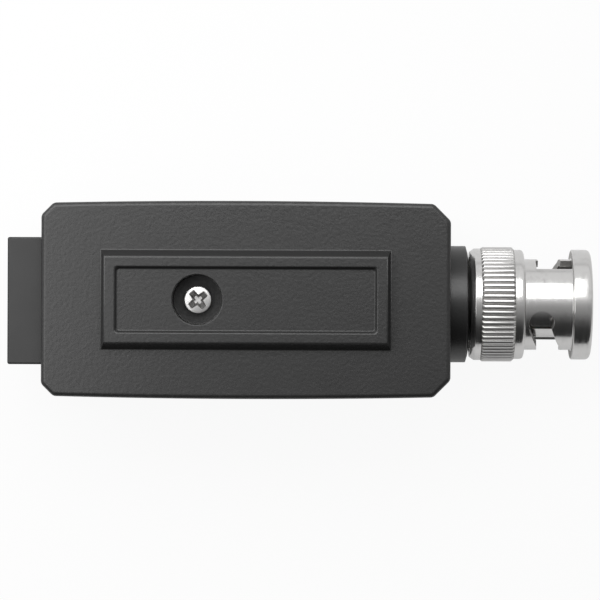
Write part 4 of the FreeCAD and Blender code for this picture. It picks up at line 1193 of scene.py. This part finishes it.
class BALUN_OT_plug(bpy.types.Operator):
    """Model the plug's fixed pieces: body, contact sleeve, insulator, pin and gasket"""
    bl_idname = "balun.plug"
    bl_label = "Plug"

    def execute(self, context):
        sizes = context.scene.balun_plug
        body_low, body_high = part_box("plug_body")
        sleeve_low, sleeve_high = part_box("outer_contact")
        gasket_low, gasket_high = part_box("front_gasket")
        bush_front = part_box("neck_bush")[1].x
        nut_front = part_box("rear_nut")[1].x
        bore = outer_radius("outer_contact") - sizes.sleeve_wall
        shoulder_back = body_high.x - sizes.shoulder_length
        shoulder = outer_radius("plug_body")
        body = spun("plug_shank", [
            (body_low.x, sizes.stem_bore, 0),
            (nut_front, sizes.stem_bore, 0),
            (nut_front, bore, 0),
            (sleeve_low.x, bore, 0),
            (sleeve_low.x, sizes.sleeve_root, 0),
            (body_high.x, sizes.sleeve_root, 0),
            (body_high.x, shoulder, sizes.edge),
            (shoulder_back, shoulder, sizes.edge),
            (shoulder_back, sizes.waist, 0),
            (bush_front, sizes.waist, sizes.edge),
            (bush_front, sizes.stem, 0),
            (body_low.x, sizes.stem, sizes.stem_end),
        ])
        hand_over(body, "balun", "nickel_plate", ["Turned nickel plate", "Nickel plate with painted waist shade"], "plug_body")

        def on_waist(middle):
            return bush_front < middle.x + SAME < shoulder_back and off_axis(middle) > bore

        # The waist in the gap under the collar gets the painted shade.
        dress(body, 1, on_waist)
        self.sleeve(sizes, sleeve_low, sleeve_high, bore, gasket_high.x)
        self.insulator(sizes, bore, nut_front)
        self.pin(sizes)
        outer = outer_radius("front_gasket")
        seal = spun("seal_ring", [
            (gasket_low.x, sizes.sleeve_root, 0),
            (gasket_high.x, sizes.sleeve_root, 0),
            (gasket_high.x, outer, sizes.seal_round),
            (gasket_low.x, outer, sizes.seal_round),
        ])
        hand_over(seal, "balun", "seal_rubber", ["Silicone"], "front_gasket")
        return {"FINISHED"}

    def sleeve(self, sizes, low, high, bore, step_x):
        """The slotted contact sleeve."""
        outer = outer_radius("outer_contact")
        sleeve = spun("contact_fingers", [
            (low.x, bore, 0),
            (high.x, bore, sizes.sleeve_tip),
            (high.x, outer, sizes.sleeve_tip),
            (step_x, outer, 0),
            (step_x, sizes.sleeve_root, 0),
            (low.x, sizes.sleeve_root, 0),
        ])
        half = sizes.sleeve_slot_width / 2
        slot_x = high.x - sizes.sleeve_slot_length
        for i in range(sizes.sleeve_slots):
            saw = block("saw", (slot_x, -half, bore - PAST), (high.x + PAST, half, outer + PAST))
            saw.rotation_euler.x = 2 * math.pi * (i + 0.5) / sizes.sleeve_slots
            saw.location = AXIS
            combine(sleeve, "DIFFERENCE", saw)
        hand_over(sleeve, "balun", "nickel_plate", ["Turned nickel plate"], "outer_contact")

    def insulator(self, sizes, bore, nut_front):
        """The white insulator with its tube round the pin."""
        low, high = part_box("dielectric")
        face = high.x - sizes.tube_depth
        insulator = spun("insulator", [
            (low.x, sizes.pin_rear, 0),
            (face, sizes.pin_rear, 0),
            (face, sizes.tube_inner, BREAK),
            (high.x, sizes.tube_inner, sizes.tube_round),
            (high.x, sizes.tube_outer, sizes.tube_round),
            (face, sizes.tube_outer, 0),
            (face, bore, 0),
            (nut_front, bore, 0),
            (nut_front, sizes.stem_bore, 0),
            (low.x, sizes.stem_bore, BREAK),
        ])
        hand_over(insulator, "balun", "insulator_plastic", ["Moulded PTFE"], "dielectric")

    def pin(self, sizes):
        """The centre pin, from its solder tail to its tapered tip."""
        low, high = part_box("centre_pin")
        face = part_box("dielectric")[1].x - sizes.tube_depth
        pin = spun("contact_pin", [
            (low.x, 0, 0),
            (high.x, 0, 0),
            (high.x, sizes.pin_tip, BREAK),
            (high.x - sizes.pin_taper, sizes.pin, sizes.pin_blend),
            (face, sizes.pin, 0),
            (face, sizes.pin_rear, 0),
            (low.x, sizes.pin_rear, sizes.pin_tail),
        ], steps=48)
        hand_over(pin, "balun", "contact_gold", ["Gold flash"], "centre_pin")


class BALUN_OT_collar(bpy.types.Operator):
    """Model the bayonet collar: knurl, slotted barrel and flange"""
    bl_idname = "balun.collar"
    bl_label = "Bayonet collar"

    def execute(self, context):
        sizes = context.scene.balun_collar
        low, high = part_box("bayonet_collar")
        self.tail = low.x
        self.front = high.x
        collar = self.outside(sizes)
        # The bore is cut before the knurl joins, because a cut through the joined ridges can fail.
        combine(collar, "DIFFERENCE", self.hollow(sizes))
        knurl = self.knurl(sizes)
        combine(knurl, "DIFFERENCE", self.core(sizes))
        combine(collar, "UNION", knurl)
        for half_turn in (0, math.pi):
            combine(collar, "DIFFERENCE", *self.slot_cutters(sizes, half_turn))
        finishes = ["Turned nickel plate", "Knurled nickel plate", "Milled nickel plate"]
        hand_over(collar, "collar", "nickel_plate", finishes, "bayonet_collar", smooth=40.0)
        back = self.tail + sizes.knurl_from_tail
        step_x = self.tail + sizes.step_from_tail
        # The barrel's faces are flat from step to step, so their middles lie a little under its radius.
        under_skin = sizes.barrel * 0.985

        def on_knurl(middle):
            along = back - SAME < middle.x < back + sizes.knurl_length + SAME
            return along and off_axis(middle) > sizes.body + SAME

        def in_slot(middle):
            along = step_x < middle.x < self.front - sizes.mouth
            return along and off_axis(middle) < under_skin

        dress(collar, 1, on_knurl)
        dress(collar, 2, in_slot)
        return {"FINISHED"}

    def outside(self, sizes):
        """The collar's outside as a solid, without its knurl."""
        flange_x = self.front - sizes.flange_length
        step_x = self.tail + sizes.step_from_tail
        return spun("coupling_collar", [
            (self.tail, 0, 0),
            (self.front, 0, 0),
            (self.front, sizes.flange, sizes.flange_front),
            (flange_x, sizes.flange, sizes.flange_back),
            (flange_x, sizes.barrel, sizes.barrel_round),
            (step_x, sizes.barrel, sizes.barrel_round),
            (step_x, sizes.body, sizes.step_round),
            (self.tail + sizes.knurl_from_tail, sizes.body, 0),
            (self.tail + sizes.knurl_from_tail, sizes.land, 0),
            (self.tail + sizes.tail_cut, sizes.land, BREAK),
            (self.tail, sizes.tail, sizes.tail_round),
        ], steps=192)

    def knurl(self, sizes):
        """A toothed disc for the knurl: rounded ridges with a sharp valley between them, low at both ends."""
        heights = (0.0, 0.55, 0.85, 0.97, 1.0, 0.97, 0.85, 0.55)
        back = self.tail + sizes.knurl_from_tail
        drop = sizes.knurl_crest - sizes.knurl_root
        bpy.ops.mesh.primitive_circle_add(
            vertices=len(heights) * sizes.ridges, radius=sizes.knurl_root, fill_type="NGON",
            location=(back, AXIS.y, AXIS.z), rotation=(0, math.pi / 2, 0),
        )
        disc = begin("knurl")
        bpy.ops.mesh.select_all(action="SELECT")
        for run, raised in ((drop, 1), (sizes.knurl_length - 2 * drop, 0), (drop, -1)):
            bpy.ops.mesh.extrude_region_move(TRANSFORM_OT_translate={"value": (run, 0, 0)})
            if raised:
                self.raise_ridges(disc, sizes, heights, raised > 0)
            self.pick_end(disc)
        close_skin()
        leave()
        return disc

    def pick_end(self, disc):
        """Select the disc's front face."""
        front = max(vertex.co.x for vertex in bmesh.from_edit_mesh(disc.data).verts)
        pick(disc, "FACE", lambda face: abs(centre(face).x - front) < SAME and len(face.verts) > 4)

    def raise_ridges(self, disc, sizes, heights, up):
        """Lift the front ring's ridges to their crest, or lay them back down to the root."""
        mesh = bmesh.from_edit_mesh(disc.data)
        front = max(vertex.co.x for vertex in mesh.verts)
        pitch = 2 * math.pi / sizes.ridges
        for height in sorted(set(heights) - {0.0}):
            radius = sizes.knurl_root + (sizes.knurl_crest - sizes.knurl_root) * height
            change = radius / sizes.knurl_root
            if not up:
                change = 1 / change

            def on_ridge(vertex):
                if abs(vertex.co.x - front) > SAME:
                    return False
                turn = math.atan2(vertex.co.y - AXIS.y, vertex.co.z - AXIS.z) % pitch
                return heights[round(turn / pitch * len(heights)) % len(heights)] == height

            pick(disc, "VERT", on_ridge)
            bpy.ops.transform.resize(value=(1, change, change), center_override=AXIS)

    def hollow(self, sizes):
        """What the boring tools take out: the bore, the cavity and the snap ring's groove."""
        ring_low, ring_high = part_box("snap_ring")
        air = sizes.groove_air
        cavity = sizes.cavity
        cavity_x = self.tail + sizes.cavity_end
        mouth = sizes.bore + sizes.mouth
        return spun("hollow", [
            (self.tail - PAST, 0, 0),
            (self.tail - PAST, cavity + air, 0),
            (self.tail, cavity + air, 0),
            (self.tail + air, cavity, 0),
            (ring_low.x - air, cavity, 0),
            (ring_low.x - air, sizes.groove_radius, 0),
            (ring_high.x + air, sizes.groove_radius, 0),
            (ring_high.x + air, cavity, 0),
            (cavity_x, cavity, 0),
            (cavity_x, sizes.bore, 0),
            (self.front - sizes.mouth, sizes.bore, 0),
            (self.front, mouth, 0),
            (self.front + PAST, mouth, 0),
            (self.front + PAST, 0, 0),
        ], steps=192)

    def core(self, sizes):
        """What the knurl's disc loses before it joins the bored collar, so the bore stays open."""
        back = self.tail + sizes.knurl_from_tail
        # Its wall lies inside the collar's own, so that no two faces lie in one plane.
        radius = (sizes.groove_radius + sizes.body) / 2
        return rod("core", back - PAST, back + sizes.knurl_length + PAST, radius, steps=180)

    def slot_cutters(self, sizes, half_turn):
        """What one bayonet slot takes out: the detent hole, the ramp and the way in."""
        inner = sizes.bore - PAST
        rim = sizes.rim_break
        outer = sizes.barrel + PAST
        detent = spun_upright("detent", 0, 0, [
            (inner, 0, 0),
            (inner, sizes.detent, 0),
            (sizes.barrel - 2 * rim, sizes.detent, 0),
            (outer, sizes.detent + outer - sizes.barrel + 2 * rim, 0),
            (outer, 0, 0),
        ], steps=72)
        detent.location.x = self.tail + sizes.detent_from_tail
        half = sizes.ramp_width / 2
        start = self.tail + sizes.ramp_start
        flare = outer - sizes.barrel + rim
        ramp = chain("ramp", [
            Vector((start - half, 0, inner)),
            Vector((start + half, 0, inner)),
            Vector((start + half, 0, sizes.barrel - rim)),
            Vector((start + half + flare, 0, outer)),
            Vector((start - half - flare, 0, outer)),
            Vector((start - half, 0, sizes.barrel - rim)),
        ])
        bpy.ops.mesh.edge_face_add()
        steep = sizes.ramp_knee - sizes.ramp_start
        wind(16, sizes.knee_angle - sizes.ramp_angle, Vector((steep, 0, 0)), "X", (0, 0, 0))
        gentle = sizes.ramp_end - sizes.ramp_knee
        wind(20, sizes.entry_angle - sizes.knee_angle, Vector((gentle, 0, 0)), "X", (0, 0, 0))
        close_skin()
        leave()
        way_back = self.tail + sizes.entry_from_tail
        flange_x = self.front - sizes.flange_length
        way = self.way_in(sizes, way_back, flange_x, rim, outer)
        groove = block(
            "groove", (way_back, -sizes.entry_width / 2, inner),
            (self.front + PAST, sizes.entry_width / 2, sizes.stud_reach),
        )
        for cutter, angle_from_top in (
            (detent, sizes.detent_angle), (ramp, sizes.ramp_angle), (way, sizes.entry_angle),
            (groove, sizes.entry_angle),
        ):
            cutter.rotation_euler.x = angle_from_top + half_turn
            cutter.location += AXIS
        return detent, ramp, way, groove

    def way_in(self, sizes, back, front, rim, outer):
        """The slot's way in through the barrel, with its long edges broken."""
        wide = sizes.entry_width
        middle = (back + front) / 2
        long = front - back
        return stack("way", middle, 0, [
            (long, wide, sizes.bore - PAST),
            (long, wide, sizes.barrel - rim),
            (long, wide + 2 * (outer - sizes.barrel + rim), outer),
        ])


class BALUN_OT_spring_stack(bpy.types.Operator):
    """Model the wave spring, and dress the washer and the snap ring"""
    bl_idname = "balun.spring_stack"
    bl_label = "Spring stack"

    def execute(self, context):
        sizes = context.scene.balun_collar
        low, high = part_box("wave_spring")
        inner = context.scene.balun_plug.waist + sizes.spring_air
        outer = outer_radius("wave_spring")
        middle = (low.x + high.x) / 2
        half = sizes.spring_wire / 2
        swing = (high.x - low.x) / 2 - half
        steps = 96
        spring = spun("wave_washer", [
            (middle - half, inner, 0),
            (middle + half, inner, 0),
            (middle + half, outer, 0),
            (middle - half, outer, 0),
        ], steps=steps)
        shape(spring)
        for step in range(steps):
            turn = 2 * math.pi * step / steps
            ray = Vector((math.sin(turn), math.cos(turn)))
            # The cosine of an angle that is smaller than the step to the next ray
            pick(spring, "VERT", lambda vertex: (vertex.co - AXIS).yz.normalized().dot(ray) > 0.9999)
            bpy.ops.transform.translate(value=(swing * math.cos(sizes.spring_waves * turn), 0, 0))
        leave()
        hand_over(spring, "balun", "spring_steel", ["Spring steel"], "wave_spring")
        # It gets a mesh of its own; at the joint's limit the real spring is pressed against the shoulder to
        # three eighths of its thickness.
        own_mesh(spring)
        softened("thrust_washer", "washer_ring", 0.05 * MM, "washer", "spring_steel", ["Spring steel"])
        softened("snap_ring", "split_ring", 0.05 * MM, "collar", "spring_steel", ["Spring steel"])
        return {"FINISHED"}


class BALUN_OT_board(bpy.types.Operator):
    """Dress the board, what stands on it and the plug's inner fastenings"""
    bl_idname = "balun.board"
    bl_label = "Board and leads"

    def execute(self, context):
        for node, finish in {
            "circuit_board": "Masked laminate",
            "toroid_core": "Sintered ferrite",
            "toroid_windings": "Enamelled copper",
            "surge_diodes": "Moulded epoxy",
            "termination_resistor": "Banded lacquer",
            "disc_capacitor": "Dipped coating",
            "signal_lead": "Extruded PVC",
            "ground_lead": "Extruded PVC",
            "rear_nut": "Turned nickel plate",
            "ground_lug": "Plated steel",
        }.items():
            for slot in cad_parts[node].material_slots:
                slot.material = bpy.data.materials[finish]
        return {"FINISHED"}


class BALUN_OT_stage(bpy.types.Operator):
    """Lay the pale floor, hang the soft lamp and set the camera over the object"""
    bl_idname = "balun.stage"
    bl_label = "Stage"

    def execute(self, context):
        sizes = context.scene.balun_stage
        self.floor(sizes, context.scene.balun_colours.floor)
        self.lamp(sizes)
        self.world(context.scene, sizes)
        self.camera(context.scene, sizes)
        context.scene.view_settings.view_transform = "Standard"
        return {"FINISHED"}

    def floor(self, sizes, tone):
        """A pale floor that the camera and the metal see as white, and that still takes the shadow."""
        bpy.ops.mesh.primitive_plane_add(size=sizes.floor_size)
        floor = bpy.context.object
        floor.name = "floor"
        material = bpy.data.materials.new("Pale floor")
        material.use_nodes = True
        tree = material.node_tree
        tree.nodes.remove(tree.nodes["Principled BSDF"])
        matte = add_node(tree, "BsdfDiffuse", {"Color": tone})
        white = add_node(tree, "Emission", {"Color": (1, 1, 1, 1), "Strength": 1.0})
        rays = add_node(tree, "LightPath", {}).outputs
        mirrored = add_node(
            tree, "Math", {0: rays["Is Glossy Ray"], 1: rays["Is Transmission Ray"]}, operation="MAXIMUM")
        dimmed = add_node(
            tree, "Math", {0: mirrored.outputs["Value"], 1: sizes.floor_mirrored}, operation="MULTIPLY")
        share = add_node(tree, "Math", {
            0: rays["Is Camera Ray"], 1: sizes.floor_glow, 2: dimmed.outputs["Value"],
        }, operation="MULTIPLY_ADD")
        mix = add_node(tree, "MixShader", {
            0: share.outputs["Value"], 1: matte.outputs["BSDF"], 2: white.outputs["Emission"]})
        feed(tree, tree.nodes["Material Output"], {"Surface": mix.outputs["Shader"]})
        floor.data.materials.append(material)

    def lamp(self, sizes):
        """A long soft lamp over the far side, and a weak small one beyond the jack's end."""
        tilt = sizes.lamp_tilt
        out = sizes.lamp_distance * math.sin(tilt)
        up = sizes.lamp_distance * math.cos(tilt)
        place = AXIS + Vector((sizes.lamp_aside, out, up))
        bpy.ops.object.light_add(type="AREA", location=place, rotation=(-tilt, 0, 0))
        lamp = bpy.context.object
        lamp.name = "soft_lamp"
        lamp.data.shape = "RECTANGLE"
        lamp.data.size = sizes.lamp_length
        lamp.data.size_y = sizes.lamp_width
        lamp.data.energy = sizes.lamp_watts
        place = AXIS + Vector((sizes.side_aside, sizes.side_near, sizes.side_up))
        # It looks at the plug's axis, halfway from the object's middle to below the lamp.
        aim = AXIS + Vector((sizes.side_aside / 2, 0, 0)) - place
        turn = aim.to_track_quat("-Z", "Y").to_euler()
        bpy.ops.object.light_add(type="AREA", location=place, rotation=turn)
        side = bpy.context.object
        side.name = "side_lamp"
        side.data.size = sizes.side_width
        side.data.energy = sizes.side_watts

    def world(self, scene, sizes):
        """A studio that is bright behind the lamp, dim overhead and dark on the near side."""
        world = bpy.data.worlds.new("studio")
        world.use_nodes = True
        scene.world = world
        tree = world.node_tree
        way = add_node(tree, "TexCoord", {})
        parts = add_node(tree, "SeparateXYZ", {"Vector": way.outputs["Generated"]})
        across = add_node(tree, "MapRange", {"Value": parts.outputs["Y"], "From Min": -1.0, "From Max": 1.0})
        ramp = add_node(tree, "ValToRGB", {"Fac": across.outputs["Result"]})
        # How bright the studio is, by shares of the way from -Y to +Y
        nearest, farthest = 0.03, 0.9
        between = (
            (0.12, 0.045), (0.22, 0.13), (0.34, 0.29), (0.47, 0.4), (0.53, 0.54), (0.6, 0.82), (0.8, 0.85),
        )
        elements = ramp.color_ramp.elements
        elements[0].color = (nearest, nearest, nearest, 1)
        elements[1].color = (farthest, farthest, farthest, 1)
        for position, bright in between:
            elements.new(position).color = (bright, bright, bright, 1)
        feed(tree, tree.nodes["Background"], {"Color": ramp.outputs["Color"], "Strength": sizes.studio_glow})

    def camera(self, scene, sizes):
        """A long lens straight above the plug's axis, with the picture's top towards +Y."""
        place = (sizes.camera_aside, sizes.camera_up, AXIS.z + sizes.camera_distance)
        bpy.ops.object.camera_add(location=place, rotation=(0, 0, sizes.camera_roll))
        camera = bpy.context.object
        camera.name = "camera"
        camera.data.lens = camera.data.sensor_width * sizes.camera_distance / sizes.view_width
        # Metres, wide enough for the whole floor
        camera.data.clip_start = 0.01
        camera.data.clip_end = 20
        scene.camera = camera


class BALUN_PT_panel(bpy.types.Panel):
    """Lists the balun's pieces in the sidebar"""
    bl_idname = "BALUN_PT_panel"
    bl_label = "Balun"
    bl_space_type = "VIEW_3D"
    bl_region_type = "UI"
    bl_category = "Balun"

    def draw(self, context):
        """One button for each operator, in the order that they run."""
        for operator in OPERATORS:
            self.layout.operator(operator.bl_idname)


GROUPS = {
    "balun_case": CaseSizes,
    "balun_screw": ScrewSizes,
    "balun_jack": JackSizes,
    "balun_plug": PlugSizes,
    "balun_collar": CollarSizes,
    "balun_colours": FinishColours,
    "balun_stage": StageSizes,
}

OPERATORS = (
    BALUN_OT_stage,
    BALUN_OT_finishes,
    BALUN_OT_case,
    BALUN_OT_screw,
    BALUN_OT_jack,
    BALUN_OT_bush,
    BALUN_OT_plug,
    BALUN_OT_collar,
    BALUN_OT_spring_stack,
    BALUN_OT_board,
)


def register():
    """Make the sizes, the operators and the panel known, with the sizes on the scene."""
    for name, group in GROUPS.items():
        bpy.utils.register_class(group)
        setattr(bpy.types.Scene, name, bpy.props.PointerProperty(type=group))
    for operator in OPERATORS:
        bpy.utils.register_class(operator)
    bpy.utils.register_class(BALUN_PT_panel)


def unregister():
    """Take them all back, last first."""
    bpy.utils.unregister_class(BALUN_PT_panel)
    for operator in reversed(OPERATORS):
        bpy.utils.unregister_class(operator)
    for name, group in reversed(GROUPS.items()):
        delattr(bpy.types.Scene, name)
        bpy.utils.unregister_class(group)


def main():
    """Build the whole balun on its stage."""
    register()
    bpy.ops.object.select_all(action="DESELECT")
    bpy.ops.balun.stage()
    bpy.ops.balun.finishes()
    bpy.ops.balun.case()
    bpy.ops.balun.screw()
    bpy.ops.balun.jack()
    bpy.ops.balun.bush()
    bpy.ops.balun.plug()
    bpy.ops.balun.collar()
    bpy.ops.balun.spring_stack()
    bpy.ops.balun.board()


if __name__ == "__main__":
    main()
